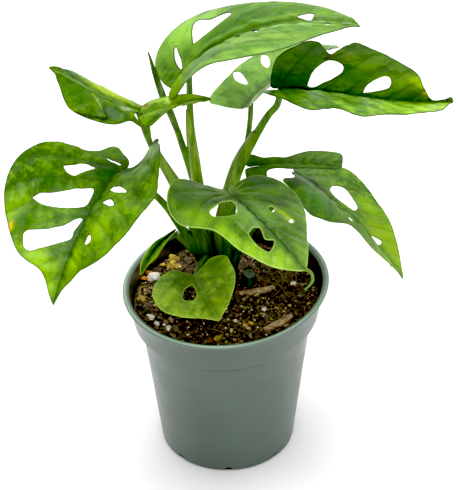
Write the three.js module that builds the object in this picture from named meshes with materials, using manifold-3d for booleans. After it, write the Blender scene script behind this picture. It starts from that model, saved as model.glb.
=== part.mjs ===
// A young Monstera adansonii in a round 108 mm nursery pot, with three stems that share it.
// Millimetres, +Z up. Origin: centre of the pot's flat underside. The leaves face -Y and spread along X.
import * as THREE from "three";
import { mergeVertices } from "three/addons/utils/BufferGeometryUtils.js";
import Module from "manifold-3d";

const wasm = await Module();
wasm.setup();

// ---------------------------------------------------------------- driving dimensions

const GAP = 0.3; // clearance between solids that touch on the real plant

const POT_HEIGHT = 102;
const POT_FOOT_RADIUS = 36;
const POT_WALL = 1.4;
const POT_FLOOR = 2;
const BAND_BOTTOM = 82; // height of the step below the stiffening band
const BAND_BOTTOM_RADIUS = 48.9;
const BAND_TOP_RADIUS = 52;
const WALL_TOP_RADIUS = 45.4; // radius of the plain wall just under the step
const RIM_RADIUS = 54.3;
const RIM_THICKNESS = 2.4;
const RIM_OVAL = 0.04; // share by which the flexible wall has sprung out of round at the rim
const RIM_OVAL_TURN = 53; // degrees from +X to the oval's long axis
const RIM_LEAN = [0.5, -1.4]; // how far the rim stands off centre over the foot, in X and Y
const DRAIN_COUNT = 8;
const DRAIN_RADIUS = 2.8;
const POT_SEGMENTS = 48;

const SOIL_TOP = 91.5;
const SOIL_RIPPLE = 0.8;
const STEM_FOOT = 72; // depth to which the rooted stems reach

const BLADE_THICKNESS = 0.8;
const BLADE_EDGE = 6; // length of a mesh edge on the blades

const COLOURS = {
  pot: 0x63746a,
  soil: 0x2e2119,
  stem: 0x5f8a24,
  newLeaf: 0x3f6a1f,
  blade: 0x4f8f22,
  bladeDark: 0x3a7a1c,
  bladeLime: 0x7fb02a,
  perlite: 0xe9e4d8,
  bark: 0x8d6f4c,
  chip: 0xb08b3a,
};

// ---------------------------------------------------------------- solids

function material(colour, roughness) {
  return new THREE.MeshStandardMaterial({ color: colour, roughness, metalness: 0, side: THREE.FrontSide });
}

function toManifold(geometry) {
  const bare = geometry.clone();
  bare.deleteAttribute("normal");
  bare.deleteAttribute("uv");
  const merged = mergeVertices(bare, 1e-4);
  return new wasm.Manifold(new wasm.Mesh({
    numProp: 3,
    vertProperties: new Float32Array(merged.attributes.position.array),
    triVerts: new Uint32Array(merged.index.array),
  }));
}

function fromManifold(solid) {
  const mesh = solid.getMesh();
  const geometry = new THREE.BufferGeometry();
  geometry.setAttribute("position", new THREE.BufferAttribute(new Float32Array(mesh.vertProperties), 3));
  geometry.setIndex(new THREE.BufferAttribute(new Uint32Array(mesh.triVerts), 1));
  geometry.computeVertexNormals();
  return geometry;
}

function namedMesh(name, geometry, colour, roughness) {
  const mesh = new THREE.Mesh(geometry, material(colour, roughness));
  mesh.name = name;
  return mesh;
}

function union(geometries) {
  const [first, ...rest] = geometries.map(toManifold);
  return rest.reduce((sum, solid) => sum.add(solid), first);
}

// A closed round tube through the points, whose radius runs through the listed values.
function tube(points, radii, sides = 8, step = 8) {
  const curve = new THREE.CatmullRomCurve3(points.map((p) => new THREE.Vector3(...p)));
  const rings = Math.max(3, Math.round(curve.getLength() / step));
  const frames = curve.computeFrenetFrames(rings, false);
  const positions = [];
  const faces = [];
  const radiusAt = (t) => {
    const s = t * (radii.length - 1);
    const i = Math.min(Math.floor(s), radii.length - 2);
    return THREE.MathUtils.lerp(radii[i], radii[i + 1], s - i);
  };
  for (let i = 0; i <= rings; i += 1) {
    const centre = curve.getPointAt(i / rings);
    for (let j = 0; j < sides; j += 1) {
      const angle = (j / sides) * 2 * Math.PI;
      const spoke = frames.normals[i].clone().multiplyScalar(Math.cos(angle));
      spoke.addScaledVector(frames.binormals[i], Math.sin(angle));
      centre.clone().addScaledVector(spoke, radiusAt(i / rings)).toArray(positions, positions.length);
    }
  }
  for (let i = 0; i < rings; i += 1) {
    for (let j = 0; j < sides; j += 1) {
      const k = (j + 1) % sides;
      const a = i * sides;
      const b = a + sides;
      faces.push(a + j, a + k, b + j, a + k, b + k, b + j);
    }
  }
  const start = positions.length / 3;
  curve.getPointAt(0).toArray(positions, positions.length);
  curve.getPointAt(1).toArray(positions, positions.length);
  for (let j = 0; j < sides; j += 1) {
    const k = (j + 1) % sides;
    faces.push(start, k, j, start + 1, rings * sides + j, rings * sides + k);
  }
  const geometry = new THREE.BufferGeometry();
  geometry.setAttribute("position", new THREE.Float32BufferAttribute(positions, 3));
  geometry.setIndex(faces);
  return geometry;
}

// ---------------------------------------------------------------- pot and soil

// Takes a round body to the shape of the flexible pot: round at the foot, slightly oval at the rim.
function sprung(geometry) {
  const position = geometry.attributes.position;
  for (let i = 0; i < position.count; i += 1) {
    const height = position.getZ(i) / POT_HEIGHT;
    const angle = Math.atan2(position.getY(i), position.getX(i));
    const turn = angle - THREE.MathUtils.degToRad(RIM_OVAL_TURN);
    const stretch = 1 + RIM_OVAL * height * Math.cos(2 * turn);
    position.setX(i, position.getX(i) * stretch + RIM_LEAN[0] * height);
    position.setY(i, position.getY(i) * stretch + RIM_LEAN[1] * height);
  }
  return geometry;
}

function makePot() {
  const rimBottom = POT_HEIGHT - RIM_THICKNESS;
  const profile = [
    [0, 0],
    [POT_FOOT_RADIUS - 1, 0],
    [POT_FOOT_RADIUS, 1],
    [WALL_TOP_RADIUS, BAND_BOTTOM - 0.6],
    [WALL_TOP_RADIUS + 1, BAND_BOTTOM],
    [BAND_BOTTOM_RADIUS, BAND_BOTTOM],
    [BAND_TOP_RADIUS, rimBottom],
    [RIM_RADIUS, rimBottom],
    [RIM_RADIUS, POT_HEIGHT - 0.6],
    [RIM_RADIUS - 0.6, POT_HEIGHT],
    [BAND_TOP_RADIUS - POT_WALL + 0.4, POT_HEIGHT],
    [BAND_TOP_RADIUS - POT_WALL, rimBottom],
    [BAND_BOTTOM_RADIUS - POT_WALL, BAND_BOTTOM + POT_WALL],
    [WALL_TOP_RADIUS - POT_WALL, BAND_BOTTOM + POT_WALL - 1],
    [POT_FOOT_RADIUS - POT_WALL, POT_FLOOR],
    [0, POT_FLOOR],
  ];
  const points = profile.map(([r, z]) => new THREE.Vector2(r, z));
  const lathe = new THREE.LatheGeometry(points, POT_SEGMENTS);
  lathe.rotateX(Math.PI / 2);
  let pot = toManifold(sprung(lathe));
  for (let i = 0; i < DRAIN_COUNT; i += 1) {
    const notch = new THREE.CylinderGeometry(DRAIN_RADIUS, DRAIN_RADIUS, 8, 12);
    notch.translate(0, POT_FOOT_RADIUS, 0);
    notch.rotateZ((i / DRAIN_COUNT) * 2 * Math.PI);
    pot = pot.subtract(toManifold(notch));
  }
  return fromManifold(pot);
}

function soilRelief(x, y) {
  const broad = Math.sin(0.16 * x + 1) * Math.cos(0.14 * y - 0.6);
  const fine = Math.sin(0.47 * x) * Math.sin(0.53 * y + 2);
  return SOIL_RIPPLE * (broad + 0.6 * fine);
}

// The root ball fills the pot; the holes hold the stems and the dips hold what lies on the soil.
function makeSoil(cutters) {
  const clear = POT_WALL + GAP + 0.1;
  const innerFoot = POT_FOOT_RADIUS - clear;
  const innerStep = WALL_TOP_RADIUS - clear;
  const innerBand = BAND_BOTTOM_RADIUS - clear;
  const bandSlope = (BAND_TOP_RADIUS - BAND_BOTTOM_RADIUS) / (POT_HEIGHT - RIM_THICKNESS - BAND_BOTTOM);
  const topRadius = innerBand + bandSlope * (SOIL_TOP - BAND_BOTTOM - POT_WALL);
  const profile = [
    [0, POT_FLOOR + GAP],
    [innerFoot, POT_FLOOR + GAP],
    [innerStep, BAND_BOTTOM + POT_WALL - 1 + GAP],
    [innerBand, BAND_BOTTOM + POT_WALL + GAP],
  ];
  const ringCount = 6;
  for (let i = 0; i <= ringCount; i += 1) {
    profile.push([topRadius * (1 - i / ringCount), SOIL_TOP]);
  }
  const points = profile.map(([r, z]) => new THREE.Vector2(r, z));
  const lathe = new THREE.LatheGeometry(points, 32);
  lathe.rotateX(Math.PI / 2);
  const position = sprung(lathe).attributes.position;
  for (let i = 0; i < position.count; i += 1) {
    if (position.getZ(i) > SOIL_TOP - 0.01) {
      const [x, y] = [position.getX(i), position.getY(i)];
      const fade = 1 - (Math.hypot(x, y) / topRadius) ** 8;
      position.setZ(i, SOIL_TOP + fade * soilRelief(x, y));
    }
  }
  return cutters.reduce((soil, cutter) => soil.subtract(cutter), toManifold(lathe));
}

// ---------------------------------------------------------------- blades

// Triangles of the Delaunay mesh of points [x, y], by inserting one point at a time.
function delaunay(points) {
  const far = 1e4;
  const all = [...points, [-far, -far], [far, -far], [0, far]];
  const n = points.length;
  const circumscribed = (a, b, c) => {
    const [ax, ay] = all[a];
    const [bx, by] = [all[b][0] - ax, all[b][1] - ay];
    const [cx, cy] = [all[c][0] - ax, all[c][1] - ay];
    const d = 2 * (bx * cy - by * cx);
    const ux = (cy * (bx * bx + by * by) - by * (cx * cx + cy * cy)) / d;
    const uy = (bx * (cx * cx + cy * cy) - cx * (bx * bx + by * by)) / d;
    return { corners: d > 0 ? [a, b, c] : [a, c, b], x: ax + ux, y: ay + uy, r2: ux * ux + uy * uy };
  };
  let triangles = [circumscribed(n, n + 1, n + 2)];
  for (let i = 0; i < n; i += 1) {
    const [px, py] = all[i];
    const edges = new Map();
    const kept = [];
    for (const triangle of triangles) {
      if ((px - triangle.x) ** 2 + (py - triangle.y) ** 2 >= triangle.r2) {
        kept.push(triangle);
        continue;
      }
      for (let k = 0; k < 3; k += 1) {
        const [a, b] = [triangle.corners[k], triangle.corners[(k + 1) % 3]];
        const key = a < b ? `${a},${b}` : `${b},${a}`;
        if (edges.has(key)) edges.delete(key);
        else edges.set(key, [a, b]);
      }
    }
    for (const [a, b] of edges.values()) kept.push(circumscribed(a, b, i));
    triangles = kept;
  }
  return triangles.map((t) => t.corners).filter((corners) => Math.max(...corners) < n);
}

function inside([x, y], polygon) {
  let odd = false;
  for (let i = 0, j = polygon.length - 1; i < polygon.length; j = i, i += 1) {
    const [xi, yi] = polygon[i];
    const [xj, yj] = polygon[j];
    if (yi > y !== yj > y && x < ((xj - xi) * (y - yi)) / (yj - yi) + xi) odd = !odd;
  }
  return odd;
}

function spacedSpline(points, spacing) {
  const curve = new THREE.SplineCurve(points.map((p) => new THREE.Vector2(...p)));
  curve.arcLengthDivisions = 400;
  const count = Math.max(2, Math.round(curve.getLength() / spacing));
  return curve.getSpacedPoints(count).map((p) => [p.x, p.y]);
}

// Outline of the flat blade, from the petiole round both sides: x to the right of the midrib, y along it.
function flatOutline(leaf) {
  const tip = [0, leaf.length];
  const right = spacedSpline([[0, 0], ...leaf.right, tip], BLADE_EDGE * 0.8);
  const left = spacedSpline([[0, 0], ...leaf.left.map(([x, y]) => [-x, y]), tip], BLADE_EDGE * 0.8);
  return [...right, ...left.slice(1, -1).reverse()];
}

function flatHole(points) {
  return spacedSpline([...points, points[0]], BLADE_EDGE * 0.6).slice(0, -1);
}

function flatMesh(leaf) {
  const outline = flatOutline(leaf);
  const holes = leaf.holes.map(flatHole);
  const points = [...outline, ...holes.flat()];
  const clear = (p, limit) => points.every(([x, y]) => Math.hypot(x - p[0], y - p[1]) > limit);
  const onBlade = (p) => inside(p, outline) && !holes.some((hole) => inside(p, hole));
  for (let y = BLADE_EDGE; y < leaf.length; y += BLADE_EDGE * 0.9) {
    if (onBlade([0, y]) && clear([0, y], BLADE_EDGE * 0.5)) points.push([0, y]);
  }
  const rowHeight = (BLADE_EDGE * Math.sqrt(3)) / 2;
  const reach = Math.max(...outline.map(([x]) => Math.abs(x)));
  const lowest = Math.min(...outline.map(([, y]) => y));
  for (let row = 0; lowest + row * rowHeight < leaf.length; row += 1) {
    for (let x = -reach; x < reach; x += BLADE_EDGE) {
      const nudge = 0.02 * Math.sin(12.9 * row + 3.1 * x);
      const p = [x + (row % 2) * BLADE_EDGE * 0.5 + nudge, lowest + row * rowHeight + nudge];
      if (onBlade(p) && clear(p, BLADE_EDGE * 0.62)) points.push(p);
    }
  }
  const triangles = delaunay(points).filter((corners) => {
    const centre = [0, 1].map((k) => corners.reduce((sum, c) => sum + points[c][k], 0) / 3);
    return onBlade(centre);
  });
  return { points, triangles };
}

// Maps flat blade coordinates to the grown leaf: the midrib bends and twists, the halves fold and curl.
function grownSurface(leaf) {
  const rad = THREE.MathUtils.degToRad;
  const step = leaf.length / 48;
  const back = 14;
  const count = 75;
  const bent = ([first, linear = 0, square = 0], t) => rad(first + linear * t + square * t * Math.abs(t));
  const frames = [];
  for (let k = 0; k < count; k += 1) {
    const t = ((k - back) * step) / leaf.length;
    const heading = bent(leaf.heading, t);
    const pitch = bent(leaf.pitch, t);
    const roll = bent(leaf.roll, t);
    const along = new THREE.Vector3(
      Math.cos(pitch) * Math.cos(heading),
      Math.cos(pitch) * Math.sin(heading),
      Math.sin(pitch),
    );
    const level = new THREE.Vector3(Math.sin(heading), -Math.cos(heading), 0);
    const upright = new THREE.Vector3().crossVectors(level, along);
    const across = level.clone().multiplyScalar(Math.cos(roll)).addScaledVector(upright, -Math.sin(roll));
    const normal = upright.clone().multiplyScalar(Math.cos(roll)).addScaledVector(level, Math.sin(roll));
    frames.push({ along, across, normal, centre: new THREE.Vector3() });
  }
  for (let k = 1; k < count; k += 1) {
    const mean = frames[k].along.clone().add(frames[k - 1].along).multiplyScalar(0.5 * step);
    frames[k].centre.copy(frames[k - 1].centre).add(mean);
  }
  const offset = new THREE.Vector3(...leaf.base).sub(frames[back].centre);
  frames.forEach((frame) => frame.centre.add(offset));
  return (x, y) => {
    const t = y / leaf.length;
    const position = THREE.MathUtils.clamp(y / step + back, 0, count - 1.001);
    const k = Math.floor(position);
    const blend = (key) => frames[k][key].clone().lerp(frames[k + 1][key], position - k);
    const right = x >= 0;
    const u = Math.abs(x) / leaf.halfWidth;
    const fold = bent(leaf.fold, t);
    const [curlRight, curlLeft, curlChange] = leaf.curl;
    const curlDegrees = (right ? curlRight : curlLeft) + curlChange * t;
    const curl = Math.abs(curlDegrees) < 0.01 ? rad(0.01) : rad(curlDegrees);
    const reach = (leaf.halfWidth / curl) * (Math.sin(fold + curl * u) - Math.sin(fold));
    const lobe = THREE.MathUtils.clamp(1 - t / 0.35, 0, 3) ** 2;
    const lift = (right ? leaf.lobeLift[0] : leaf.lobeLift[1]) * u * u * lobe;
    const rise = (leaf.halfWidth / curl) * (Math.cos(fold) - Math.cos(fold + curl * u)) + lift;
    return blend("centre").addScaledVector(blend("across"), right ? reach : -reach)
      .addScaledVector(blend("normal"), rise);
  };
}

// The blade as a plate of even thickness: both faces have the same triangles, joined by walls.
function bladeGeometry(leaf) {
  const { points, triangles } = flatMesh(leaf);
  const surface = grownSurface(leaf);
  const middle = points.map(([x, y]) => surface(x, y));
  const normals = middle.map(() => new THREE.Vector3());
  for (const [a, b, c] of triangles) {
    const face = new THREE.Vector3().subVectors(middle[b], middle[a])
      .cross(new THREE.Vector3().subVectors(middle[c], middle[a]));
    [a, b, c].forEach((corner) => normals[corner].add(face));
  }
  normals.forEach((normal) => normal.normalize());
  const positions = [];
  for (const side of [1, -1]) {
    middle.forEach((point, i) => {
      const lifted = point.clone().addScaledVector(normals[i], (side * BLADE_THICKNESS) / 2);
      lifted.toArray(positions, positions.length);
    });
  }
  const n = points.length;
  const open = new Map();
  const faces = [];
  for (const [a, b, c] of triangles) {
    faces.push(a, b, c, n + a, n + c, n + b);
    for (const [from, to] of [[a, b], [b, c], [c, a]]) {
      if (open.has(`${to},${from}`)) open.delete(`${to},${from}`);
      else open.set(`${from},${to}`, [from, to]);
    }
  }
  for (const [from, to] of open.values()) faces.push(from, n + to, to, from, n + from, n + to);
  const geometry = new THREE.BufferGeometry();
  geometry.setAttribute("position", new THREE.Float32BufferAttribute(positions, 3));
  geometry.setIndex(faces);
  return geometry;
}

// ---------------------------------------------------------------- leaves
// heading, pitch, roll and fold are degrees as [at the petiole, change to the tip, change with the
// square]; curl is [right half, left half, change to the tip]; lobeLift raises the basal lobes in mm.
// right and left are the margin's distance from the midrib and its place along it.

const LEAVES = [
  {
    name: "leaf_front_left",
    colour: COLOURS.blade,
    base: [-48.5, -17, 182.5],
    length: 84.5,
    halfWidth: 36,
    heading: [232, 48, -30],
    pitch: [1, -50, 14],
    roll: [10, 3],
    fold: [15, 4],
    curl: [29, 1, -7],
    lobeLift: [-5, 31],
    right: [[3.5, -7.5], [18, -11.5], [22, -1], [40.5, 11], [43, 35], [26, 62], [10.5, 70], [3.5, 80]],
    left: [[8, -4.5], [16, -10.5], [23, 0.5], [37.3, 9.3], [39.6, 19], [39.6, 34], [26, 58.5], [11, 68], [2, 78]],
    holes: [
      [[24.5, 15.5], [21, 11.8], [18, 8], [11.5, 7.8], [14, 10.8], [15.5, 13.8], [17, 16.8], [21, 17.3]],
      [[27.5, 37], [25, 32.8], [18.5, 28.3], [13.5, 24.3], [4.8, 19.2], [3, 25.3], [3.5, 30.3], [9.5, 34.3], [16, 36.3], [22, 37.5]],
      [[24.3, 55], [22.5, 51.8], [13.5, 47.8], [8, 43.8], [3, 37.6], [1.1, 38], [2.3, 45.5], [2.5, 50], [8, 54.3], [14, 58.3], [18.5, 61.3], [22, 60.5]],
      [[-4, 17.3], [-6, 15.3], [-11, 17], [-19.5, 22.3], [-15, 22.3], [-9.5, 20.8]],
      [[-6.5, 27.8], [-8.5, 25.8], [-12, 26.8], [-16, 30.8], [-14, 31.3], [-10, 29.8]],
      [[-7.5, 52.8], [-7.3, 49.8], [-8.5, 47.8], [-11, 49.8], [-11.5, 52.3], [-9.5, 53.3]],
      [[15.5, -1.2], [10, -2.4], [4.8, -2.9], [4.6, -1.6], [9.5, -1.1]],
    ],
  },
  {
    name: "leaf_upper_left",
    colour: COLOURS.blade,
    base: [-40, -8, 211.5],
    length: 50,
    halfWidth: 18.5,
    heading: [189, -4, -12],
    pitch: [28, 4, 8],
    roll: [8, -14],
    fold: [14, -8],
    curl: [-44, -44, -5],
    lobeLift: [-1, -1],
    right: [[4, -1.8], [8.5, -3], [13, -2.5], [17.5, 1.5], [18, 9], [18, 19], [14, 33], [7, 42], [3, 47.5]],
    left: [[3.5, 1], [7.2, 4.2], [11, 3.6], [16, 0.8], [15.4, 3.4], [14.2, 7.2], [19, 16], [17.5, 34], [7, 43], [1.5, 46.5]],
    holes: [],
  },
  {
    name: "leaf_upper_small",
    colour: COLOURS.bladeLime,
    base: [-37.5, -12.4, 212.8],
    length: 33.5,
    halfWidth: 12,
    heading: [10, -16, -4],
    pitch: [14, -7, 5],
    roll: [-8, -16],
    fold: [6, 18],
    curl: [-25, -18, 22],
    lobeLift: [0, 0],
    right: [[1.4, -3], [5, -3.2], [9.5, -2.4], [13, 1], [12.6, 6], [10.2, 14], [8, 22.5], [3.5, 27], [1.5, 30.5]],
    left: [[1.6, -1.8], [4.5, -1.5], [9, 0.2], [12.2, 4.5], [10.8, 13], [8.2, 22], [4.5, 28], [2, 32]],
    holes: [],
  },
  {
    name: "leaf_top",
    colour: COLOURS.blade,
    base: [-16.5, 8, 223],
    length: 93.5,
    halfWidth: 37.5,
    heading: [-3, -20, 18],
    pitch: [53, -75, 13],
    roll: [4, -9],
    fold: [38, -25],
    curl: [-19, -53, -37],
    lobeLift: [-16, 1],
    right: [[4.5, -7.5], [14.5, -9.6], [24.5, -4.5], [34.5, 15], [37, 40], [29.5, 61.5], [15, 79], [4.5, 88.5]],
    left: [[2, -12.5], [18.5, -12.5], [30.5, -2], [38.5, 15.5], [37, 40.5], [32, 61.5], [14, 78], [5, 89]],
    holes: [
      [[-17, 1], [-8, 0.5], [-3.5, -1.5], [-8, -2.5], [-16, -0.5]],
      [[-10, 9.5], [-27, 11.5], [-21, 19], [-20.5, 27.5], [-16.5, 29.5], [-11, 19]],
      [[-2, 63.5], [-6, 67.5], [-5, 71], [-0.8, 70]],
      [[1.2, 32.6], [1.2, 35.4], [5, 36], [11, 37.2], [6, 34]],
      [[1, 41.2], [1.2, 44], [4, 45.6], [9.5, 45.4], [5.5, 42.6]],
      [[0.9, 76.2], [0.9, 79], [4, 78.8], [4, 76.4]],
    ],
  },
  {
    name: "leaf_right",
    colour: COLOURS.bladeDark,
    base: [29, 4.5, 214.5],
    length: 94.5,
    halfWidth: 31,
    heading: [15, -8, 11],
    pitch: [-10, -34, 38],
    roll: [36, 8],
    fold: [63, -2],
    curl: [-34, -1, -4],
    lobeLift: [2, 1],
    right: [[2, -10.5], [15.5, -11.5], [29, 2.5], [27, 14], [24.6, 19.5], [25.8, 25], [27.6, 30], [27.2, 36], [22.8, 47], [17.8, 63], [11.5, 82], [3.5, 90]],
    left: [[2, -5.5], [18.5, -6], [28.5, 4], [29.5, 10.5], [27, 14], [23.3, 18.3], [25.8, 20.8], [30, 25], [31.5, 32], [21, 63.5], [10.5, 74], [4, 79.5], [1.5, 83], [2, 88.5], [3.4, 92.4]],
    holes: [
      [[-3, 13], [-12, 13.5], [-19.5, 18.5], [-18, 26], [-12, 27], [-3, 17.5]],
      [[-2.5, 43], [-9, 43.5], [-15, 49], [-14, 53.5], [-8, 55], [-4.5, 49]],
    ],
  },
  {
    name: "leaf_rear",
    colour: COLOURS.blade,
    base: [14.5, 32, 191],
    length: 70.5,
    halfWidth: 25.5,
    heading: [52, -8, -4],
    pitch: [18, -32, -3],
    roll: [-22, 6],
    fold: [23, -5],
    curl: [2, -19, -3],
    lobeLift: [3, 0],
    right: [[3, -6.5], [14.5, -9.5], [23, -5.5], [24.5, 12], [24.5, 29.5], [18, 46.5], [9.5, 59], [3, 67.5]],
    left: [[2, -6.5], [14.5, -8.5], [23, -6], [24.5, 11.5], [25, 29], [18, 46.5], [9.5, 59], [3, 67.5]],
    holes: [
      [[-20.5, 34], [-17, 34.5], [-10.5, 29.5], [-8, 25], [-12, 25.5], [-17, 29.5]],
      [[-24, 15.5], [-20.5, 16.5], [-14.5, 13.5], [-8.5, 9], [-15, 9], [-20, 11.5]],
      [[16, 28], [8, 19], [4.5, 17], [6, 22], [12, 28]],
      [[17, 11], [9, 6], [4, 5], [6, 9], [12, 12]],
    ],
  },
  {
    name: "leaf_lower_right",
    colour: COLOURS.blade,
    base: [41, 26.3, 148.2],
    length: 75.8,
    halfWidth: 30.8,
    heading: [-39, -9, 3],
    pitch: [-13, -33, 10],
    roll: [-29, -5],
    fold: [4, 13],
    curl: [-43, 18, 1],
    lobeLift: [-1, 0],
    right: [[0.6, -5.8], [4, -3], [9, -0.4], [16.5, -2.2], [19.5, 3.5], [22.5, 9], [27.6, 22], [25.6, 28.5], [22, 33.5], [14, 37.8], [11.4, 41], [11, 46], [12.2, 52], [11.5, 59], [8, 65], [3, 71.5]],
    left: [[2, -7], [8, -9.5], [17, -6.5], [26.5, 0], [32.4, 8], [31.6, 18.5], [27.2, 31.5], [22, 46.5], [12, 62], [3.5, 72]],
    holes: [
      [[-6, 14.8], [-12.2, 13.2], [-17.8, 17.3], [-14.3, 26.5], [-11.2, 31], [-6, 31], [-4.6, 20.4]],
      [[6, 24.8], [3.6, 26], [2.6, 29.8], [4.6, 30.4]],
      [[4.8, 33.4], [4.4, 36.6], [6.8, 38], [7, 35.4]],
      [[-1.8, 47.5], [-5.8, 53.2], [-1.2, 54.2]],
    ],
  },
  {
    name: "leaf_inner_right",
    colour: COLOURS.bladeDark,
    base: [22, 21.5, 159.6],
    length: 39.5,
    halfWidth: 8.5,
    heading: [7, -11, -3],
    pitch: [3, -16, 5],
    roll: [4, 6],
    fold: [14, 5],
    curl: [-10, 2, 5],
    lobeLift: [-3, 1],
    right: [[0.4, -5], [0.9, -10], [5, -13.4], [9.4, -12.5], [11.5, -7], [10, -1.2], [5.8, -0.3], [5.2, 3.5], [6.3, 8], [7.6, 14], [6.5, 28], [5.4, 37], [3, 39.1]],
    left: [[0.4, -5], [0.9, -9.6], [5.5, -10.6], [6.3, -6], [3.9, -0.5], [3.7, 5], [3, 10.5], [5.2, 17], [6.8, 23.5], [7, 36], [5.2, 39]],
    holes: [],
  },
  {
    name: "leaf_front",
    colour: COLOURS.bladeLime,
    base: [4.5, -13, 165],
    length: 62,
    halfWidth: 35,
    heading: [-60, 8, 3],
    pitch: [6, -30, -5],
    roll: [-12, -4],
    fold: [5, -12],
    curl: [-18, -19, -5],
    lobeLift: [4, 2],
    right: [[2.5, -7], [20, -14.5], [37, -1.5], [39, 12.5], [26.5, 24], [22.5, 39.5], [15, 53], [4.5, 60.5]],
    left: [[2.5, -6.5], [20, -14], [33.5, -1.5], [36, 12], [31.5, 25.5], [22.5, 39.5], [13, 51.5], [4.5, 59.5]],
    holes: [
      [[15.4, 9.4], [8.9, 6.4], [4.4, 7.4], [6.2, 13.2], [9.8, 18.2], [14.9, 18.9], [21.2, 16.1], [20.9, 12.2]],
      [[12.5, 32], [5, 31.5], [7, 38.5], [3.5, 41.5], [11, 46], [13.5, 39]],
      [[-10.1, 17.6], [-12.8, 16.9], [-13.3, 19], [-10.8, 21.9], [-9.1, 21.2]],
      [[-15.6, 29.9], [-19.1, 27.7], [-19.3, 29.9], [-16.6, 31]],
    ],
    dripTip: [
      [38.6, -61.4, 153.8], [41.3, -61.5, 152], [42.4, -61.3, 148], [41.4, -60.8, 144], [38.8, -60.5, 140.8],
    ],
  },
  {
    name: "leaf_low_heart",
    colour: COLOURS.bladeLime,
    base: [-15.5, -16, 117],
    length: 36.5,
    halfWidth: 22,
    heading: [-76, 12, -2],
    pitch: [2, -13],
    roll: [11, 9],
    fold: [10, -4],
    curl: [-8, 12, -3],
    lobeLift: [0, 0],
    right: [[4.5, -3.5], [10.5, -7], [19, -2], [24, 6], [22.5, 16.5], [15, 25], [7.5, 30], [2, 34.5]],
    left: [[4.5, -2.5], [11.5, -6.5], [18.5, -1.5], [19.5, 6], [19, 16], [15, 24], [8.5, 31], [2.5, 35]],
    holes: [
      [[3, 7], [8, 9.5], [10.5, 15], [6.5, 18], [3, 14.5]],
    ],
  },
  {
    name: "leaf_rim_left",
    colour: COLOURS.bladeDark,
    base: [-25.5, 6, 128],
    length: 30,
    halfWidth: 6,
    heading: [220, 14, 9],
    pitch: [-6, -31, -2],
    roll: [-20, -5],
    fold: [74, -12],
    curl: [4, -16, -12],
    lobeLift: [0, 0],
    right: [[1.2, -0.8], [2.4, -0.6], [2.8, 6], [5, 13.5], [4.5, 20], [4, 25], [1.5, 28.5]],
    left: [[1.6, -0.8], [4, 0], [6, 5.5], [6.5, 13], [6.5, 19], [2.5, 25], [1.5, 28.5]],
    holes: [],
  },
];

// ---------------------------------------------------------------- stems and petioles
// Each stem is one growth: a rooted foot with the petioles that sheathe it. A petiole's path runs from
// inside the foot to just under its blade; leaf names the blade, and radii run along the path.

const FOOT_RADIUS = 4.4;

const STEMS = [
  {
    name: "stem_left",
    foot: [-9, 17],
    top: 106,
    petioles: [
      {
        leaf: "leaf_front_left",
        path: [[-9, 17, 96], [-13, 14, 110], [-18, 10, 121], [-23, 6, 133], [-30, -1, 151], [-41, -12, 172]],
        radii: [2.8, 2.3, 1.8, 1.5],
      },
      {
        leaf: "leaf_upper_left",
        path: [
          [-8, 17, 100], [-15, 12, 128], [-23.5, 6, 156],
          [-32, 1.5, 177.5], [-36.5, -2.5, 191], [-38.3, -4.5, 199],
        ],
        radii: [3.2, 3.2, 3.1, 3, 2.1, 1.5, 1.5],
      },
      {
        leaf: "leaf_upper_small",
        path: [[-31.5, 1.5, 177.5], [-35.8, -2.2, 190], [-36.4, -4.5, 199]],
        radii: [1.4, 1.3, 1.1],
      },
      {
        leaf: "leaf_low_heart",
        path: [[-8, 15, 98], [-9, 9, 109], [-11, 1, 114.5], [-13.5, -8, 116]],
        radii: [1.8, 1.5, 1.2],
      },
      {
        leaf: "leaf_rim_left",
        path: [[-11, 16, 98], [-14.5, 12, 108], [-19.5, 8.5, 118]],
        radii: [1.6, 1.4, 1.1],
      },
    ],
  },
  {
    name: "stem_middle",
    foot: [-5, 27],
    top: 108,
    petioles: [
      {
        leaf: "leaf_top",
        path: [
          [-5.5, 26, 98], [-9.5, 22, 121], [-12.8, 19, 149],
          [-14, 17, 164], [-15.7, 13, 186.5], [-15.8, 10, 206],
        ],
        radii: [3.6, 3.2, 2.9, 2.5, 1.8, 1.5],
      },
      {
        leaf: "new_leaf",
        path: [[-6, 27, 100], [-10.5, 23, 128], [-14.5, 20, 148], [-17.9, 17, 164.5], [-22.6, 13, 186.5]],
        radii: [3, 2.8, 2.3, 1.9, 1.7],
      },
    ],
  },
  {
    name: "stem_right",
    foot: [3, 14],
    top: 106,
    petioles: [
      {
        leaf: "leaf_right",
        path: [
          [0.5, 14, 100], [-1.2, 13, 126], [2.6, 11.8, 146], [7, 10.5, 163],
          [11, 9.5, 174], [15.8, 8.3, 184], [23, 6.5, 198.6], [27.3, 5.6, 205],
        ],
        radii: [3.4, 3.4, 3.3, 3.2, 3.2, 3.2, 2.2, 1.8, 1.7],
      },
      {
        leaf: "leaf_rear",
        path: [
          [2, 16, 100], [3.6, 17.5, 124], [6, 18.5, 147],
          [8.9, 20.5, 158], [11.6, 23, 167], [14, 28, 180],
        ],
        radii: [2.4, 2.2, 2, 1.8, 1.5, 1.4],
      },
      {
        leaf: "leaf_lower_right",
        path: [[4, 14, 99], [8, 16, 112], [16.5, 18.5, 124.5], [26, 21.5, 134], [37, 25.5, 141]],
        radii: [2.6, 2.4, 2.1, 1.5],
      },
      {
        leaf: "leaf_front",
        path: [[1, 12, 104], [1.5, 5, 126], [3, -4, 148]],
        radii: [2.2, 2, 1.7],
      },
      {
        leaf: "leaf_inner_right",
        path: [[4, 15, 102], [10, 17, 125], [17, 18.5, 145]],
        radii: [1.9, 1.6, 1.3],
      },
    ],
  },
];

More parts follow.
